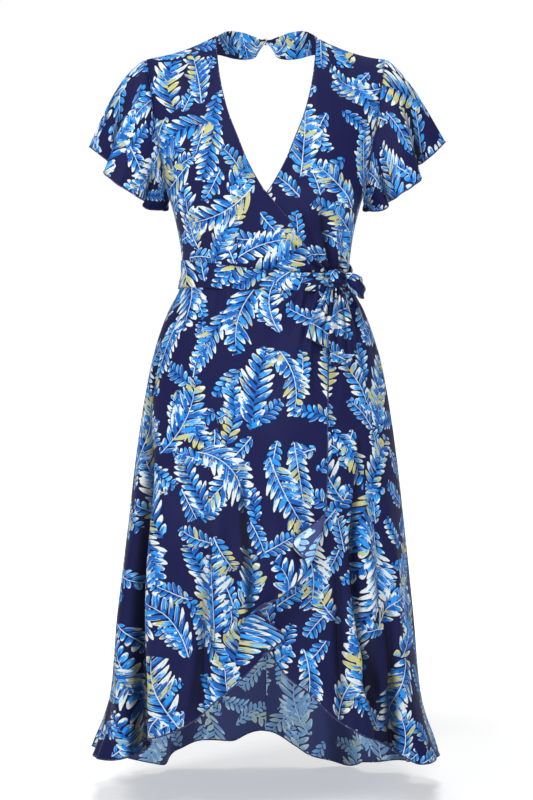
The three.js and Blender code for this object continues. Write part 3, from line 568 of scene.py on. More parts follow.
def grid_faces(rows, cols, closed=False):
    """Quads of a grid of rows by cols points, with the last column joined to the first where closed."""
    i, j = np.meshgrid(np.arange(rows - 1), np.arange(cols if closed else cols - 1), indexing="ij")
    a = i * cols + j
    b = i * cols + (j + 1) % cols
    return np.stack([a, b, b + cols, a + cols], axis=-1).reshape(-1, 4)


def round_weld(rows, cols):
    """Joins the last column of a grid to its first."""
    i, j = np.meshgrid(np.arange(rows), np.arange(cols), indexing="ij")
    return (i * cols + j % (cols - 1)).ravel()


def cloth(name, points, uv, materials, thick, weld=None, out_from=None, trough=None):
    """A thin shell of cloth over a grid of middle points, its right side outwards. out_from is a point
    that the right side looks away from, the body's axis where none is given."""
    away = points * np.array([1, 1, 0]) if out_from is None else points - np.array(out_from)
    faces = grid_faces(*points.shape[:2])
    if (np.cross(np.gradient(points, axis=1), np.gradient(points, axis=0)) * away).sum() < 0:
        faces = faces[:, ::-1]
    obj = build_mesh(name, points, faces, uv, materials, weld, trough=trough)
    shell = obj.modifiers.new("thickness", "SOLIDIFY")
    shell.thickness = thick * MM
    shell.offset = 0
    shell.material_offset = len(materials) - 1
    return obj


def tube(name, path, radius, sides=6):
    """A thin roll along a path: rings of points in the plane of the way out from the body's axis and its
    cross product with the path. UV runs along the roll and round it."""
    way = unit(np.gradient(path, axis=0))
    out = path * np.array([1, 1, 0]) + np.array([0.01, 0.01, 0])
    first = unit(np.cross(way, out))
    second = np.cross(way, first)
    turn = np.linspace(0, 2 * math.pi, sides, endpoint=False)
    round_it = first[:, None] * np.cos(turn)[:, None] + second[:, None] * np.sin(turn)[:, None]
    points = path[:, None] + round_it * radius
    uv = np.stack(np.broadcast_arrays(run(path)[:, None], turn[None, :] * radius), axis=-1)
    caps = [np.arange(sides)[::-1], (len(path) - 1) * sides + np.arange(sides)]
    return build_mesh(name, points, grid_faces(len(path), sides, True), uv, [ROLLED], caps=caps)


def feed(tree, slot, value):
    """Fills a node's input with a wire or a plain value."""
    if isinstance(value, Wire):
        tree.links.new(value.socket, slot)
    else:
        slot.default_value = value


class Wire:
    """A node's output, which can be reckoned with like a number: each sum or product is a Math node."""

    def __init__(self, tree, socket):
        self.tree = tree
        self.socket = socket

    def math(self, operation, *others):
        node = self.tree.nodes.new("ShaderNodeMath")
        node.operation = operation
        for slot, value in zip(node.inputs, (self, *others)):
            feed(self.tree, slot, value)
        return Wire(self.tree, node.outputs[0])

    def __add__(self, other):
        return self.math("ADD", other)

    def __sub__(self, other):
        return self.math("SUBTRACT", other)

    def __mul__(self, other):
        return self.math("MULTIPLY", other)

    def __truediv__(self, other):
        return self.math("DIVIDE", other)

    def __pow__(self, other):
        return self.math("POWER", other)

    def over(self, other):
        return self.math("GREATER_THAN", other)

    def under(self, other):
        return self.math("LESS_THAN", other)

    def held(self):
        node = self.tree.nodes.new("ShaderNodeClamp")
        self.tree.links.new(self.socket, node.inputs[0])
        return Wire(self.tree, node.outputs[0])

    def step(self, start, end):
        """Goes smoothly from 0 at start to 1 at end."""
        node = self.tree.nodes.new("ShaderNodeMapRange")
        node.interpolation_type = "SMOOTHSTEP"
        filled(self.tree, node, Value=self, From_Min=start, From_Max=end)
        return Wire(self.tree, node.outputs["Result"])


def filled(tree, node, **inputs):
    """Fills a node's inputs, each with a wire or a plain value. Underscores in a name stand for spaces."""
    for name, value in inputs.items():
        feed(tree, node.inputs[name.replace("_", " ")], value)
    return node


def node_of(tree, kind, **inputs):
    return filled(tree, tree.nodes.new(kind), **inputs)


def noise(tree, place, scale, detail):
    node = node_of(tree, "ShaderNodeTexNoise", Vector=place, Scale=scale, Detail=detail)
    return Wire(tree, node.outputs["Fac"])


def joined(tree, x, y, z=0.0):
    node = node_of(tree, "ShaderNodeCombineXYZ", X=x, Y=y, Z=z)
    return Wire(tree, node.outputs[0])


def parts(tree, wire):
    node = node_of(tree, "ShaderNodeSeparateXYZ", Vector=wire)
    return [Wire(tree, out) for out in node.outputs]


def blended(tree, share, first, second):
    """First colour where the share is 0, second where it is 1."""
    node = tree.nodes.new("ShaderNodeMix")
    node.data_type = "RGBA"
    for slot, value in ((0, share), (6, first), (7, second)):
        feed(tree, node.inputs[slot], value)
    return Wire(tree, node.outputs[2])


def group(name, outputs, numbers=()):
    """An empty node group that takes a place and the named numbers. outputs gives each output's kind."""
    tree = bpy.data.node_groups.new(name, "ShaderNodeTree")
    tree.interface.new_socket("Place", in_out="INPUT", socket_type="NodeSocketVector")
    for label in numbers:
        tree.interface.new_socket(label, in_out="INPUT", socket_type="NodeSocketFloat")
    for label, kind in outputs.items():
        tree.interface.new_socket(label, in_out="OUTPUT", socket_type=kind)
    source = tree.nodes.new("NodeGroupInput")
    sink = tree.nodes.new("NodeGroupOutput")
    return tree, {s.name: Wire(tree, s) for s in source.outputs if s.name}, sink


def puts_out(tree, sink, **outputs):
    for name, wire in outputs.items():
        tree.links.new(wire.socket, sink.inputs[name])
    return tree


def placed(tree, made, **inputs):
    node = tree.nodes.new("ShaderNodeGroup")
    node.node_tree = made
    return {s.name: Wire(tree, s) for s in filled(tree, node, **inputs).outputs}


def srgb(r, g, b):
    """A colour given as 0 to 255 on a screen, as the linear numbers that a shader takes."""
    return tuple(((c / 255 + 0.055) / 1.055)**2.4 if c > 10 else c / 255 / 12.92 for c in (r, g, b)) + (1.0,)


NAVY = srgb(17, 20, 62)
CORNFLOWER = srgb(38, 131, 206)
MID_BLUE = srgb(18, 84, 160)
CREAM = srgb(200, 206, 204)
OCHRE = srgb(176, 172, 98)
SKY = srgb(104, 176, 226)
# Wrong side colours: partly the wrong side's own paler print, partly painted light that brightens the inside where it
# lies in shade.
PALE_LIT_WRONG_GROUND = srgb(58, 66, 112)
PALE_LIT_WRONG_LEAF = srgb(186, 230, 255)
# Painted shade: the near-black that cloth deep in a fold is darkened towards, and how far, on the right side and on
# the wrong side.
FOLD_SHADE_COLOUR = srgb(7, 9, 26)
WORN = srgb(120, 130, 170)
HEM_THREAD = srgb(30, 30, 78)
HEM_FLECK = srgb(110, 150, 215)
HEM_SHADE = srgb(18, 18, 52)
TROUGH_SHADE = 0.8
WRONG_TROUGH_SHADE = 0.6
# How far the wrong side's print is mixed towards the pale leaf colour: partly its own paleness, partly painted light.
WRONG_PALE_AND_LIT = 0.38
THREAD_PITCH = 0.0007
STITCH_PITCH = 0.0032
CREPE_BUMP = 0.00018
HEM_BUMP = 0.0004

PAINT = {"Colour": "NodeSocketColor", "Mask": "NodeSocketFloat"}
RELIEF = {"Height": "NodeSocketFloat"}

# The print's layers: small plain sprigs, then two of large fronds. Lengths in metres.
FROND_NUMBERS = ("Cell wide", "Cell high", "Seed", "Length", "Spread", "Leaf step", "Turn", "Bend",
                 "Cream share", "Ochre share", "Stray")
FROND_LAYERS = [
    (0.046, 0.062, 3.3, 0.058, 0.0105, 0.0088, 1.3, 12.0, -0.45, -0.60, 0.7),
    (0.080, 0.112, 11.4, 0.098, 0.0160, 0.0104, 0.9, 19.0, -0.16, -0.30, 0.65),
    (0.100, 0.143, 27.9, 0.120, 0.0210, 0.0122, 0.75, 16.0, -0.12, -0.30, 0.6),
]


def frond_group():
    """A layer of painted fronds, one in each cell of a stretched Voronoi pattern. Each frond has its own
    turn and bend. Measured from its vein, leaflets are counted along it on a slant, and each is as wide as
    a paddle profile allows. Hashes of the count give every leaflet its length and colours, and a slow
    noise gathers the cream and the ochre in patches."""
    tree, given, sink = group("painted fronds", PAINT, FROND_NUMBERS)
    x, y, _ = parts(tree, given["Place"])
    u = x / given["Cell wide"] + given["Seed"]
    v = y / given["Cell high"] + given["Seed"] * 1.7
    cell = node_of(tree, "ShaderNodeTexVoronoi", Vector=joined(tree, u, v), Scale=1.0, Randomness=given["Stray"])
    cell.voronoi_dimensions = "2D"
    px, py, _ = parts(tree, Wire(tree, cell.outputs["Position"]))
    r1, r2, r3 = parts(tree, Wire(tree, cell.outputs["Color"]))
    lx = (u - px) * given["Cell wide"]
    ly = (v - py) * given["Cell high"]
    angle = (r1 - 0.5) * given["Turn"] * 2.0 + r3.over(0.6) * math.pi
    sine, cosine = angle.math("SINE"), angle.math("COSINE")
    across = lx * cosine + ly * sine
    along = ly * cosine - lx * sine
    bent = across - (along * along - 0.0012) * (r2 - 0.5) * given["Bend"]
    far = bent.math("ABSOLUTE")
    side = bent.over(0.0)
    root = along - far * 0.55 - far * far * 15.0
    s = root / given["Length"] + 0.5
    count = root / given["Leaf step"] + side * 0.5 + r3 * 7.0
    number = count.math("FLOOR")
    f = count - number - 0.5
    hashed = node_of(tree, "ShaderNodeTexWhiteNoise", Vector=joined(tree, number, side * 3.0 + r1 * 50.0, r2 * 90.0))
    h1, h2, h3 = parts(tree, Wire(tree, hashed.outputs["Color"]))
    envelope = ((s.held() ** 0.8) * math.pi).math("SINE").held() ** 0.5
    reach = envelope * given["Spread"] * (h1 * 0.5 + 0.72) + 0.002
    e = (far + f * given["Leaf step"] * 0.48) / reach
    tip = ((((e - 0.50) / 0.50).held() ** 2.0) * -1.0 + 1.0).held().math("SQRT")
    profile = (e.step(0.0, 0.6) * 0.13 + 0.32) * tip
    wobble = (noise(tree, given["Place"], 210.0, 2.0) - 0.5) * 0.16
    depth = profile - f.math("ABSOLUTE") + wobble * e
    inside = depth.step(0.0, 0.05) * e.under(1.0) * s.over(0.0) * s.under(1.0)
    full = along / given["Length"] + 0.5
    h_stem = (r2 * 3.7).math("FRACT").over(0.35) * 0.9
    stem = (full * -0.0005 + 0.0010 - far).step(0.0, 0.0004) * full.over(0.02) * full.under(0.9) * h_stem
    brush = joined(tree, f * 4.0 + number * 3.1, far * 80.0, side * 9.0 + r1 * 30.0)
    stroke = noise(tree, brush, 1.0, 2.0) - 0.5
    drift = noise(tree, given["Place"], 22.0, 1.0) - 0.5
    lean = f * (side * 2.0 - 1.0)
    cream = (e * 1.6 + stroke * 1.7 + drift * 1.5 + (h2 - 0.5) * 0.7 + (r2 - 0.5) * 0.4 + lean * 0.5
             + given["Cream share"] - 1.0)
    ochre = stroke * 2.0 - drift * 2.2 + (h3 - 0.8) * 0.7 + e * 0.3 + given["Ochre share"] + 0.10
    shade = (e * -0.9 + stroke * 2.2 + (h1 - 0.5) * 0.8 - lean * 0.6 + 0.50).step(-0.05, 0.2)
    gleam = (stroke * -1.6 + h3 * 0.8 + e * 0.5 - lean * 0.6 - 1.02).step(0.0, 0.2)
    rib = (f.math("ABSOLUTE") * -1.0 + 0.06).step(0.0, 0.05) * h3.over(0.5) * e.step(0.05, 0.2) * e.under(0.7)
    rim = depth.step(0.13, 0.06) * h1.over(0.35) * e.over(0.25)
    line = (stroke.math("ABSOLUTE") * -1.0 + 0.012).step(0.0, 0.012) * h2.over(0.5)
    colour = CORNFLOWER
    for share, paint in ((shade, MID_BLUE), (gleam, SKY), (ochre.step(0.0, 0.12), OCHRE),
                         (cream.step(0.0, 0.12), CREAM), (rib * 0.75, SKY),
                         (rim * 0.75 * lean.over(-0.1), CREAM), (line * 0.6, NAVY), (stem, CREAM)):
        colour = blended(tree, share, colour, paint)
    return puts_out(tree, sink, Colour=colour, Mask=inside.math("MAXIMUM", stem))


def print_group(fronds):
    """The leaf print: its layers of fronds, each over the last."""
    tree, given, sink = group("leaf print", PAINT)
    colour, cover = NAVY, None
    for numbers in FROND_LAYERS:
        layer = placed(tree, fronds, Place=given["Place"], **dict(zip(FROND_NUMBERS, numbers)))
        colour = blended(tree, layer["Mask"], colour, layer["Colour"])
        cover = layer["Mask"] if cover is None else cover.math("MAXIMUM", layer["Mask"])
    return puts_out(tree, sink, Colour=colour, Mask=cover)


def weave_group():
    """Height of crepe: crossed threads, uneven by a fine noise."""
    tree, given, sink = group("crepe weave", RELIEF)
    x, y, _ = parts(tree, given["Place"])
    thread = 2 * math.pi / THREAD_PITCH
    warp = (x * thread).math("SINE")
    weft = (y * thread).math("SINE")
    height = warp * 0.12 + weft * 0.12 + noise(tree, given["Place"], 900.0, 2.0) * 0.8
    return puts_out(tree, sink, Height=height)


def shaded(name):
    material = bpy.data.materials.new(name)
    material.use_nodes = True
    return material, material.node_tree, material.node_tree.nodes["Principled BSDF"]


def own_place(tree):
    return Wire(tree, tree.nodes.new("ShaderNodeTexCoord").outputs["Object"])


def cloth_place(tree, flat=True):
    """The place on the printed cloth: the UV map, or a piece's own coordinates seen from the back."""
    if flat:
        uv = tree.nodes.new("ShaderNodeUVMap")
        uv.uv_map = "cloth"
        return Wire(tree, uv.outputs["UV"])
    x, _, z = parts(tree, own_place(tree))
    return joined(tree, x, z)


def bumped(tree, shader, height, distance, strength):
    bump = node_of(tree, "ShaderNodeBump", Strength=strength, Distance=distance, Height=height)
    filled(tree, shader, Normal=Wire(tree, bump.outputs["Normal"]))


def crepe_material(name, leaf_print, weave, pale=0.0, flat=True):
    """Printed crepe, with shade painted into its folds: the deeper a point lies in one, the darker its colour. pale
    mixes the colours of the print towards the lighter wrong side, whose ground is a greyer blue; these colours are
    partly the wrong side's own paler print, partly painted light where the inside lies in shade."""
    material, tree, shader = shaded(name)
    place = cloth_place(tree, flat)
    made = placed(tree, leaf_print, Place=place)
    colour = made["Colour"]
    if pale:
        colour = blended(tree, made["Mask"], PALE_LIT_WRONG_GROUND, blended(tree, pale, colour, PALE_LIT_WRONG_LEAF))
    tone = noise(tree, place, 7.0, 2.0)
    colour = blended(tree, ((tone - 0.5) * 0.10).held(), colour, WORN)
    # Painted shade: the colour darkens towards near-black the deeper the point lies in a fold, by the piece's depth
    # attribute.
    fold = tree.nodes.new("ShaderNodeAttribute")
    fold.attribute_name = "trough"
    depth = Wire(tree, fold.outputs["Fac"]) * (-1.0 if pale else 1.0)
    colour = blended(tree, depth.step(0.0, 1.0) * (WRONG_TROUGH_SHADE if pale else TROUGH_SHADE), colour, FOLD_SHADE_COLOUR)
    bumped(tree, shader, placed(tree, weave, Place=place)["Height"], CREPE_BUMP, 0.35)
    filled(tree, shader, Base_Color=colour, Roughness=tone * 0.16 + 0.56, Sheen_Weight=0.02, Sheen_Roughness=0.45,
           Specular_IOR_Level=0.10)
    return material


def hem_material(name, weave):
    """Rolled hem: navy thread over the roll with paler flecks where the print shows between stitches."""
    material, tree, shader = shaded(name)
    place = cloth_place(tree)
    x, _, _ = parts(tree, place)
    stitch = (x * (2 * math.pi / STITCH_PITCH)).math("SINE")
    colour = blended(tree, noise(tree, place, 170.0, 1.0).step(0.60, 0.66), HEM_THREAD, HEM_FLECK)
    colour = blended(tree, stitch.step(0.3, 0.9) * 0.5, colour, HEM_SHADE)
    filled(tree, shader, Base_Color=colour, Roughness=0.7)
    height = placed(tree, weave, Place=place)["Height"]
    bumped(tree, shader, stitch * 0.8 + height * 0.4, HEM_BUMP, 0.6)
    return material


def place_camera():
    data = bpy.data.cameras.new("camera")
    data.sensor_fit = "VERTICAL"
    data.sensor_height = SENSOR
    data.lens = SENSOR * FOCAL_PIXELS / FRAME_HIGH
    data.shift_x = SIDE_SHIFT / FRAME_HIGH
    camera = add("camera", data)
    aim(camera, CAMERA_AT, CAMERA_LOOKS_AT)
    bpy.context.scene.camera = camera


place_camera()
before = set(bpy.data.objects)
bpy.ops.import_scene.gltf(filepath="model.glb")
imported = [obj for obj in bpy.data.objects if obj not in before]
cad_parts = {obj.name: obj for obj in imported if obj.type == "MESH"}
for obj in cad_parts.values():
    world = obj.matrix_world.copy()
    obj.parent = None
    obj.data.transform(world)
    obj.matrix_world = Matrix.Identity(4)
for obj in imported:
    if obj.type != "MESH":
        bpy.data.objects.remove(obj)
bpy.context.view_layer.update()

FRONDS = frond_group()
LEAF_PRINT = print_group(FRONDS)
WEAVE = weave_group()
RIGHT_SIDE = crepe_material("leaf print crepe", LEAF_PRINT, WEAVE)
WRONG_SIDE = crepe_material("leaf print crepe, wrong side", LEAF_PRINT, WEAVE, WRONG_PALE_AND_LIT)
ROLLED = hem_material("rolled hem", WEAVE)
COVERED = crepe_material("covered button crepe", LEAF_PRINT, WEAVE, flat=False)
BOTH_SIDES = [RIGHT_SIDE, WRONG_SIDE]


def shares(rows, cols):
    """Shares 0 to 1 down the rows and along the columns of a grid, as two arrays."""
    return np.meshgrid(np.linspace(0, 1, rows), np.linspace(0, 1, cols), indexing="ij")


def seam_dip(distance):
    """Cloth drawn in at a seam: a narrow bell of the distance from it."""
    return -SEAM_DIP * bell(distance / SEAM_HALF)


def fold_depth(lift, full):
    """How deep in a fold each point lies, which sets the shade painted there: its lift against that of a full trough,
    held at 1 and -1.
    """
    return np.clip(-lift / full, -1, 1)


def sew(name, points, cut, held, rests_on=(), thick=CREPE, sides=BOTH_SIDES, roll=None, **made):
    """Makes a piece of cloth, and the rolled edge if roll gives its name's ending, path and radius. Then
    it reckons the flat size, which nothing reads, and hides its solid, whose place the piece takes."""
    obj = cloth(name + "_cloth", points, turned(cut, *PRINT_PLACES[name]), sides, thick, **made)
    rolled = [tube(name + roll[0], *roll[1:])] if roll else []
    (wide, high), area = cut_size(cut)
    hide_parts(name)


def upright(angle, start, end):
    """Places along a seam at one angle, from one level to another."""
    return lambda t: (np.full(np.shape(t), float(angle)), mix(start, end, t))


def armhole_place(side, which, t):
    rows = ARMHOLE["level"]
    level = np.interp(t * (len(rows) - 1), np.arange(len(rows)), rows)
    turn = column(ARMHOLE, "level", which, level)
    return side * (SIDE - turn if which == "front" else SIDE + turn), level


def either(v, first, second):
    """Places along two curves that meet at the side share."""
    low = v <= SIDE_SHARE
    a = first(np.clip(v / SIDE_SHARE, 0, 1))
    b = second(np.clip((v - SIDE_SHARE) / (1 - SIDE_SHARE), 0, 1))
    return np.where(low, a[0], b[0]), np.where(low, a[1], b[1])


def bodice_side(side, which, v):
    """Outer edge of a bodice piece: up the side seam, then round the armhole to the shoulder."""
    seam = upright(side * SIDE, BODICE_LEVEL, UNDERARM_LEVEL)
    return either(v, seam, lambda t: armhole_place(side, which, t))


def shoulder_gap(v):
    return SHOULDER_GAP * smooth((v - 0.9) / 0.1)


def bodice_front(name, side, over):
    """A bodice front: rows run from its outer edge to the wrap edge and neckline, on the figure, lifted by
    the layer beneath it and by its creases."""
    v, u = shares(BODICE_ROWS, FRONT_COLUMNS)
    outer_angle, outer_level = bodice_side(side, "front", v)
    inner_angle, inner_level = either(v, places(WRAP_EDGE), places(NECK_EDGE))
    level = mix(outer_level, inner_level, u)
    angle = mix(outer_angle, -side * inner_angle, u)
    x, _, z = np.moveaxis(body_point(angle, level), -1, 0)
    arm = np.abs(x - body_point(outer_angle, level)[..., 0])
    lift = creases(OVER_BODICE_CREASES if over else UNDER_BODICE_CREASES, x, z)
    lift = lift * smooth(arm / ARM_FADE) + seam_dip(arm)
    # Depth in the creases, for the shade painted there.
    trough = fold_depth(lift, BODICE_TROUGH)
    lift = np.maximum(lift + over_lift(angle), OVER_LOWEST) if over else np.maximum(lift, UNDER_LOWEST)
    points = on_body(angle, level, lift)
    points[..., 1] -= shoulder_gap(v)
    sew(name, points, straight_cut(angle, level, 0), "stretched", roll=("_edge", points[:, -1], NECK_ROLL),
        trough=trough)


def bodice_back(name, side):
    """A bodice back: rows run from its outer edge to the centre seam and the edge of the open back."""
    v, u = shares(BODICE_ROWS, BACK_COLUMNS)
    outer_angle, outer_level = bodice_side(side, "back", v)
    inner_angle, inner_level = either(v, upright(0, BODICE_LEVEL, BACK_EDGE[0][1]), places(BACK_EDGE))
    level = mix(outer_level, inner_level, u)
    angle = mix(np.abs(outer_angle), np.minimum(180 - inner_angle, 180), u)
    x, _, z = np.moveaxis(body_point(side * angle, level), -1, 0)
    arm = np.abs(x - body_point(outer_angle, level)[..., 0])
    lift = creases(BACK_BODICE_CREASES, np.abs(x), z) * smooth(arm / ARM_FADE) + seam_dip(arm)
    lift += seam_dip(np.abs(x)) * (v < SIDE_SHARE)
    points = on_body(side * angle, level, lift)
    points[..., 1] += shoulder_gap(v)
    cut = straight_cut(angle if side > 0 else 360 - angle, level, 180)
    edge = points[int(BODICE_ROWS * SIDE_SHARE):, -1]
    sew(name, points, cut, "stretched", roll=("_edge", edge, NECK_ROLL))


def fill(top, low, outer, inner, u, v):
    """Fills the middle of a panel from its four edges: straight blends across and down, less the blend of
    the corners."""
    out = []
    for k in range(2):
        across = mix(outer(v)[k], inner(v)[k], u)
        down = mix(top(u)[k], low(u)[k], v)
        zero, one = np.zeros(1), np.ones(1)
        corners = mix(mix(top(zero)[k], top(one)[k], u), mix(low(zero)[k], low(one)[k], u), v)
        out.append(across + down - corners)
    return out


def cascade_shift(v, u):
    """How the cascade moves off the plain skirt: at its free edge by the difference between the lobes and
    the plain edge, fading inwards as a power of the share of its reach."""
    near = np.clip((u - 1 + CASCADE_REACH) / CASCADE_REACH, 0, 1)**CASCADE_GROWTH
    plain = spline(CASCADE_EDGE)(v)
    inside = (v > CASCADE_LOBES["share"][0]) * near
    shift = [(column(CASCADE_LOBES, "share", name, v) - plain[..., k]) * inside for k, name in enumerate("xz")]
    return shift[0], shift[1], column(CASCADE_LOBES, "share", "lift", v) * near


def skirt_shares(grid):
    v, u = shares(*grid)
    return mix(v, smooth(v), 0.6), u


def hem_flutter(angle, level, low):
    """Small uneven waves that grow over the last of the way down to the hem."""
    near = np.clip(1 - (level - low) / FLUTTER_REACH, 0, 1)**2
    return FLUTTER_HIGH * near * ripple(np.radians(angle), HEM_WAVES)


def turned_back(points, past):
    """Folds the cloth that lies past the fold line back over itself: half a circle, then straight on
    along the way from the line inwards and a little upwards. past is how far each point lies beyond it."""
    bend = np.minimum(past / FLAP_BEND, math.pi)
    out = unit(points[:, -1] - points[:, FLAP_ROOT])
    inwards = unit(-out + np.array([0, 0, FLAP_RISE]))
    facing = unit(np.cross(out, np.gradient(points[:, -1], axis=0)))
    facing = facing * np.sign(-facing[:, 1:2])
    straight = np.maximum(past - math.pi * FLAP_BEND, 0)
    return (points + (FLAP_BEND * np.sin(bend))[..., None] * out[:, None] + straight[..., None] * inwards[:, None]
            + (FLAP_BEND * (1 - np.cos(bend)))[..., None] * facing[:, None])


def skirt_front(name, side, edge_points, hem_points, over):
    """A skirt front, filled in between the waist, the hem, the side seam and the free edge. The one that
    lies over is lifted off the other, and its edge falls in the cascade."""
    v, u = skirt_shares(SKIRT_FRONT_GRID)
    flap = FLAP * bell((v - FLAP_AT) / FLAP_SPREAD) if over else np.zeros_like(v)
    reach = u * (SKIRT_WIDE + flap)
    past = np.maximum(reach - SKIRT_WIDE, 0)
    u = np.minimum(reach / SKIRT_WIDE, 1)
    inner, hem = places(edge_points), places(hem_points)
    corner = inner(np.zeros(1))[0][0]

    def top(t):
        return mix(side * SIDE, corner, t), np.full(np.shape(t), SKIRT_LEVEL)

    def low(t):
        return hem(1 - t)
    angle, level = fill(top, low, upright(side * SIDE, SKIRT_LEVEL, SIDE_HEM_LEVEL), inner, u, v)
    x, y, z = np.moveaxis(body_point(angle, level), -1, 0)
    seam = np.abs(x - body_point(side * SIDE, level)[..., 0]) + 2 * np.abs(y)
    lift = creases(SKIRT_TOP_CREASES if over else UNDER_SKIRT_CREASES, x, z)
    lift = lift + hem_flutter(angle, level, low(u)[1]) + seam_dip(seam)
    # Depth in the creases and large folds, for the shade painted there.
    trough = fold_depth(lift + FOLD_SHARE * fold_out(angle, level), SKIRT_TROUGH)
    if over:
        deepest = mix(SINK_NEAR, SINK_FAR, smooth((-x - SINK_FROM) / SINK_SPREAD))
        lift = np.maximum(lift, deepest) + over_lift(angle)
    shift = cascade_shift(v, u) if over else np.zeros(3)
    points = on_body(angle, level + shift[1], lift)
    points[..., 0] += shift[0]
    points[..., 1] -= shift[2]
    points = turned_back(points, past) if over else points
    cut = flared_cut(angle, level, 0)
    cut[..., 0] += past
    rim = np.concatenate([points[:-1, -1], points[-1, ::-1]])
    sew(name, points, cut, "hung", roll=("_hem", rim, HEM_ROLL), trough=trough)


def skirt_back(name, start, end):
    v, u = skirt_shares(SKIRT_BACK_GRID)
    angle = mix(start, end, u)
    lowest = column(BACK_HEM, "angle", "level", angle)
    level = mix(SKIRT_LEVEL, lowest, v)
    x, _, z = np.moveaxis(body_point(angle, level), -1, 0)
    seam = np.minimum(np.abs(angle - start), np.abs(angle - end)) * 3
    lift = creases(BACK_SKIRT_CREASES, np.abs(x), z) + seam_dip(seam) + hem_flutter(angle, level, lowest)
    # Depth in the creases and large folds, for the shade painted there.
    trough = fold_depth(lift + fold_out(angle, level), SKIRT_TROUGH)
    points = on_body(angle, level, lift)
    sew(name, points, flared_cut(angle, level, 180), "hung", roll=("_hem", points[-1], HEM_ROLL), trough=trough)


def sleeve(name, side, crown):
    """A flutter sleeve: rings from the armhole to its hem's table of places. The lobes of the hem die out
    up the sleeve as a power of the way, over a smooth oval through the same table."""
    rows, cols = SLEEVE_GRID
    mirror = np.array([side, 1, 1])
    v, k = shares(rows, cols)
    theta = (k[0] * 2 * math.pi + math.pi) % (2 * math.pi)
    front = theta <= math.pi
    share = np.where(front, 1 - theta / math.pi, theta / math.pi - 1)
    hole = np.zeros((cols, 3))
    for which, mask in (("front", front), ("back", ~front)):
        angle, level = armhole_place(side, which, share[mask])
        lift = over_lift(angle) if side < 0 else np.zeros(mask.sum())
        stand = SLEEVE_STAND * smooth(1.1 - share[mask] * 1.2)
        hole[mask] = on_body(angle, level, lift + stand)
    away = np.degrees(theta)
    end = "left_" if side < 0 else "right_"
    hem = np.stack([column(SLEEVE_HEM, "turn", end + axis, away) for axis in "xyz"], axis=-1)
    hem[:, 0] *= -side
    wide, deep, high, drop = SLEEVE_OVAL
    sine, cosine = np.sin(theta), np.cos(theta)
    flat = np.stack([cosine * wide, -sine * deep, cosine * high - drop * np.abs(sine)], axis=-1) * mirror
    oval = np.array(SLEEVE_MIDDLE) * mirror + flat
    out = unit(flat)
    start = hole + unit(hem - hole + out * SLEEVE_RISE) * SLEEVE_START
    full = crown * np.sin(np.pi * v**0.7) * np.cos(theta / 2)**2
    points = mix(start[None], oval[None], v[..., None]) + (hem - oval)[None] * (v**1.7)[..., None]
    points = points + out[None] * (full + ripple(theta, SLEEVE_WAVES) * v**2 * (1 - 0.4 * v))[..., None]
    round_hole, round_hem = run(points[0]), run(points[-1])
    long = np.linalg.norm(np.diff(points, axis=0), axis=-1).sum(0).mean()
    spread = (round_hem[-1] - round_hole[-1]) / long
    radius = round_hole[-1] / spread + v * long
    turn = mix(round_hole, round_hem, v) / radius - spread / 2
    cut = np.stack([radius * np.sin(turn), -radius * np.cos(turn)], axis=-1)
    points[:, -1] = points[:, 0]
    # Painted shade: dark bands round the sleeve at the troughs between the hem's lobes, growing down the sleeve.
    trough = sum(deep * bell((away - turn) / wide) for turn, wide, deep in SLEEVE_SHADE_BANDS) * smooth(v * 1.3)
    sew(name, points, cut, "gathered", roll=("_hem", points[-1], SLEEVE_ROLL), weld=round_weld(rows, cols),
        out_from=points.reshape(-1, 3).mean(0), trough=trough)


def along_cut(line, across):
    """The flat cut of a band: the way along a line of points, by how far across it each point lies."""
    return np.stack(np.broadcast_arrays(run(line)[None, :], across), axis=-1)


def belt_stretch(name, start, end):
    """A stretch of the waist tie: it lies on the panels, its top edge dipping towards the knot, with soft
    creases along it."""
    v, u = shares(BELT_ROWS, int(abs(end - start) * BELT_COLUMNS_A_DEGREE))
    angle = mix(start, end, u)
    turn = np.where(angle > 180, angle - 360, angle)
    dip = smooth((turn + 75) / 110) * (1 - smooth((turn - 55) / 60))
    top = mix(BELT_TOP_SIDE, BELT_TOP_KNOT, dip)
    over = over_lift(turn) * (1 - smooth((turn - 40) / 16))
    gather = bell((turn - 62) / 26)
    pleat = np.sin(v * 13 + 0.02 * turn + 0.6 * np.sin(turn / 9)) * (0.35 + 2.0 * gather)
    edge = bell(v / 0.05) + bell((1 - v) / 0.05)
    lift = over + BELT_LIFT + pleat * (1 - np.clip(edge, 0, 1)) - 0.5 * edge + 2.2 * gather
    points = on_body(angle, mix(BELT_LOW - BELT_SAG * dip, top, v), lift)
    high = np.linalg.norm(np.diff(points, axis=0), axis=-1).sum(0).mean()
    # Painted shade in the belt's pleats and along both its edges.
    sew(name, points, along_cut(points[BELT_ROWS // 2], v * high), "stretched", [], DOUBLED,
        trough=fold_depth(pleat - 0.6 * edge, BELT_TROUGH))


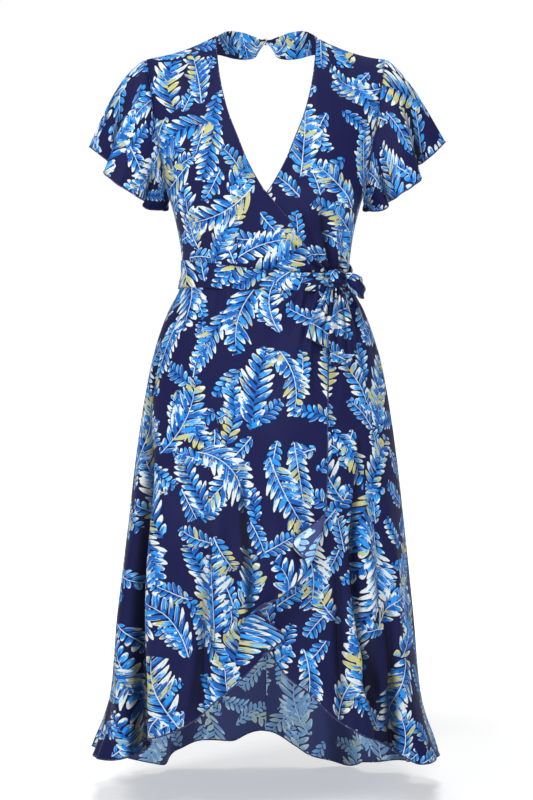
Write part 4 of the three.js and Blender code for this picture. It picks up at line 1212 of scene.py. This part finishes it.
def tie_knot(name):
    """The knot: a rounded block, squared off, with the folds of the tie wound round it as ridges on a
    slant."""
    rows, cols = KNOT_GRID
    polar, turn = shares(rows, cols)
    polar = np.clip(polar * math.pi, 0.02, math.pi - 0.02)
    turn = turn * 2 * math.pi
    r = np.sin(polar)**0.7
    wind = (1 + 0.10 * np.sin(7 * polar + 1.8 * np.sin(turn + 0.4)) + 0.05 * np.cos(4 * turn)
            + 0.05 * np.sin(11 * polar + 2.0 * np.cos(turn + 0.5)))
    off = [r * np.cos(turn) * wind, r * np.sin(turn) * wind, -np.cos(polar) * (0.96 + 0.04 * wind)]
    points = np.stack([at + half * way for at, half, way in zip(KNOT, KNOT_HALF, off)], axis=-1)
    uv = np.stack([turn, polar], axis=-1) * np.array(KNOT_CUT)
    end = np.arange(cols - 1)
    # Painted shade between the windings of the knot.
    obj = build_mesh(name + "_cloth", points, grid_faces(rows, cols), turned(uv, *PRINT_PLACES[name]), [RIGHT_SIDE],
                     round_weld(rows, cols), [end[::-1], (rows - 1) * cols + end], fold_depth(wind - 1, KNOT_TROUGH))
    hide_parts(name)


def bow_loop(name):
    """The loop of the bow: a band along its path, gathered where it leaves the knot."""
    v, u = shares(*LOOP_GRID)
    centre = spline(LOOP_PATH)(u[0])
    side = v * 2 - 1
    half = mix(6, LOOP_WIDE / 2, np.sin(np.pi * np.clip(u, 0.001, 0.999))**0.6)
    swell = np.sin(np.pi * u)
    gather = 1.2 * np.cos(side * 7) * (1 - swell)
    off = [-2 * side - 4 * side**2 * swell + 1.2 * np.sin(side * 6 + 2) * swell, 1.5 * side**2 + 2.2 * gather,
           side * half]
    points = centre[None] + np.stack(off, axis=-1)
    cut = along_cut(points[LOOP_GRID[0] // 2], (v - 0.5) * LOOP_WIDE)
    sew(name, points, cut, "gathered", ["tie_knot"], TIE_END, out_from=LOOP_FROM)


def tail(name, start_x, end_x, end_z, half, lean, lift):
    """A tail of the tie: it hangs from the knot before the skirt, gathered at the top, cut on the slant."""
    v, u = shares(*TAIL_GRID)
    side = u * 2 - 1
    z = mix(KNOT[2] - KNOT_HALF[2] - 0.8, end_z + lean * side, v)
    x = mix(start_x, end_x, v) + side * mix(TAIL_NARROW, half, smooth(v * 1.5))
    skirt = body_point(angle_at(x, z), z)[..., 1]
    gather = 3.6 * np.cos(side * 2.6 * math.pi + 1.2 * v) * (1 - 0.5 * v) + 1.6 * np.sin(side * 13 + v * 3) * (1 - v)
    hang = mix(KNOT[1], skirt - lift, smooth(v * 2.2)) - gather
    points = np.stack([x, np.minimum(hang, skirt - 6), z], axis=-1)
    cut = np.stack([side * half * 1.08, lean * side * v - v * abs(end_z - KNOT[2] + KNOT_HALF[2])], axis=-1)
    # Painted shade in the tail's gathers.
    sew(name, points, cut, "hung", ["tie_knot"], TIE_END, roll=("_hem", points[-1], TAIL_ROLL),
        trough=fold_depth(gather, TAIL_TROUGH))


def nape_band(name, side):
    """Half of the nape band, between the two edges of its table."""
    v, u = shares(*BAND_GRID)
    count = len(NAPE_BAND["top_x"])
    rows = {"i": np.arange(float(count)), **NAPE_BAND}

    def edge(end):
        line = [column(rows, "i", end + axis, u[0] * (count - 1)) for axis in "xyz"]
        return np.stack(line, axis=-1) * np.array([side, 1, 1])
    top = edge("top_")
    points = mix(edge("low_")[None], top[None], v[..., None])
    points[..., 1] += 0.4 * np.sin(np.pi * v) + 0.15 * np.sin(u * 25 + v * 3)
    sew(name, points, along_cut(top, v * BAND_WIDE), "stretched", [], DOUBLED, [RIGHT_SIDE, RIGHT_SIDE],
        out_from=BAND_FROM)


def thread_loop():
    """A loop of thread from the end of the right half of the band round the button: half an oval, its
    ends sunk in the band's edge."""
    turn = np.linspace(-0.5 * math.pi, 0.5 * math.pi, THREAD_POINTS)
    off = np.stack([-THREAD_HALF[0] * np.cos(turn), np.zeros_like(turn), THREAD_HALF[1] * np.sin(turn)], axis=-1)
    tube("thread_loop", np.array(THREAD_AT) + off, THREAD_RADIUS)


bodice_front("bodice_front_over", -1, True)
bodice_front("bodice_front_under", 1, False)
bodice_back("bodice_back_left", -1)
bodice_back("bodice_back_right", 1)
skirt_front("skirt_front_over", -1, CASCADE_EDGE, OVER_HEM, True)
skirt_front("skirt_front_under", 1, UNDER_EDGE, UNDER_HEM, False)
skirt_back("skirt_back_right", 90, 180)
skirt_back("skirt_back_left", 180, 270)
sleeve("sleeve_left", -1, 14)
sleeve("sleeve_right", 1, 10)
belt_stretch("belt_front", -89.9, 50)
belt_stretch("belt_back", 50.4, 269.9)
tie_knot("tie_knot")
bow_loop("bow_loop")
tail("tie_tail_short", 93, 73, -422, 16, -8, 11)
tail("tie_tail_long", 105, 112, -448, 19, 10, 17)
nape_band("nape_band_left", -1)
nape_band("nape_band_right", 1)
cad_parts["nape_button"].data.materials[0] = COVERED
thread_loop()


def stage():
    """A pale floor under the hem that reaches the horizon, and soft lights all round."""
    mesh = bpy.data.meshes.new("floor")
    ends = [(-FLOOR_FAR, FLOOR_NEAR), (FLOOR_FAR, FLOOR_NEAR), (FLOOR_FAR, FLOOR_FAR), (-FLOOR_FAR, FLOOR_FAR)]
    mesh.from_pydata([(x, y, FLOOR_LEVEL) for x, y in ends], [], [(0, 1, 2, 3)])
    floor = add("floor", mesh)
    material, tree, shader = shaded("pale floor")
    away = node_of(tree, "ShaderNodeVectorMath", Vector=own_place(tree))
    away.operation = "LENGTH"
    glow = Wire(tree, away.outputs["Value"]).step(*GLOW_FROM) * (1 - GLOW_NEAR) + GLOW_NEAR
    filled(tree, shader, Base_Color=FLOOR_COLOUR, Emission_Color=WHITE, Emission_Strength=glow, Roughness=0.9,
           Specular_IOR_Level=0.1)
    mesh.materials.append(material)
    world = bpy.data.worlds.new("studio")
    bpy.context.scene.world = world
    world.use_nodes = True
    tree = world.node_tree
    seen = Wire(tree, tree.nodes.new("ShaderNodeLightPath").outputs["Is Camera Ray"])
    filled(tree, tree.nodes["Background"], Color=WHITE, Strength=seen * (SKY_SEEN - SKY_LIGHT) + SKY_LIGHT)
    for name, place, size, power in LIGHTS:
        data = bpy.data.lights.new(name, "AREA")
        data.shape = "SQUARE"
        data.size = size
        data.energy = power
        aim(add(name, data), place, LIGHTS_AIM)


stage()
bpy.context.scene.view_settings.view_transform = "Standard"
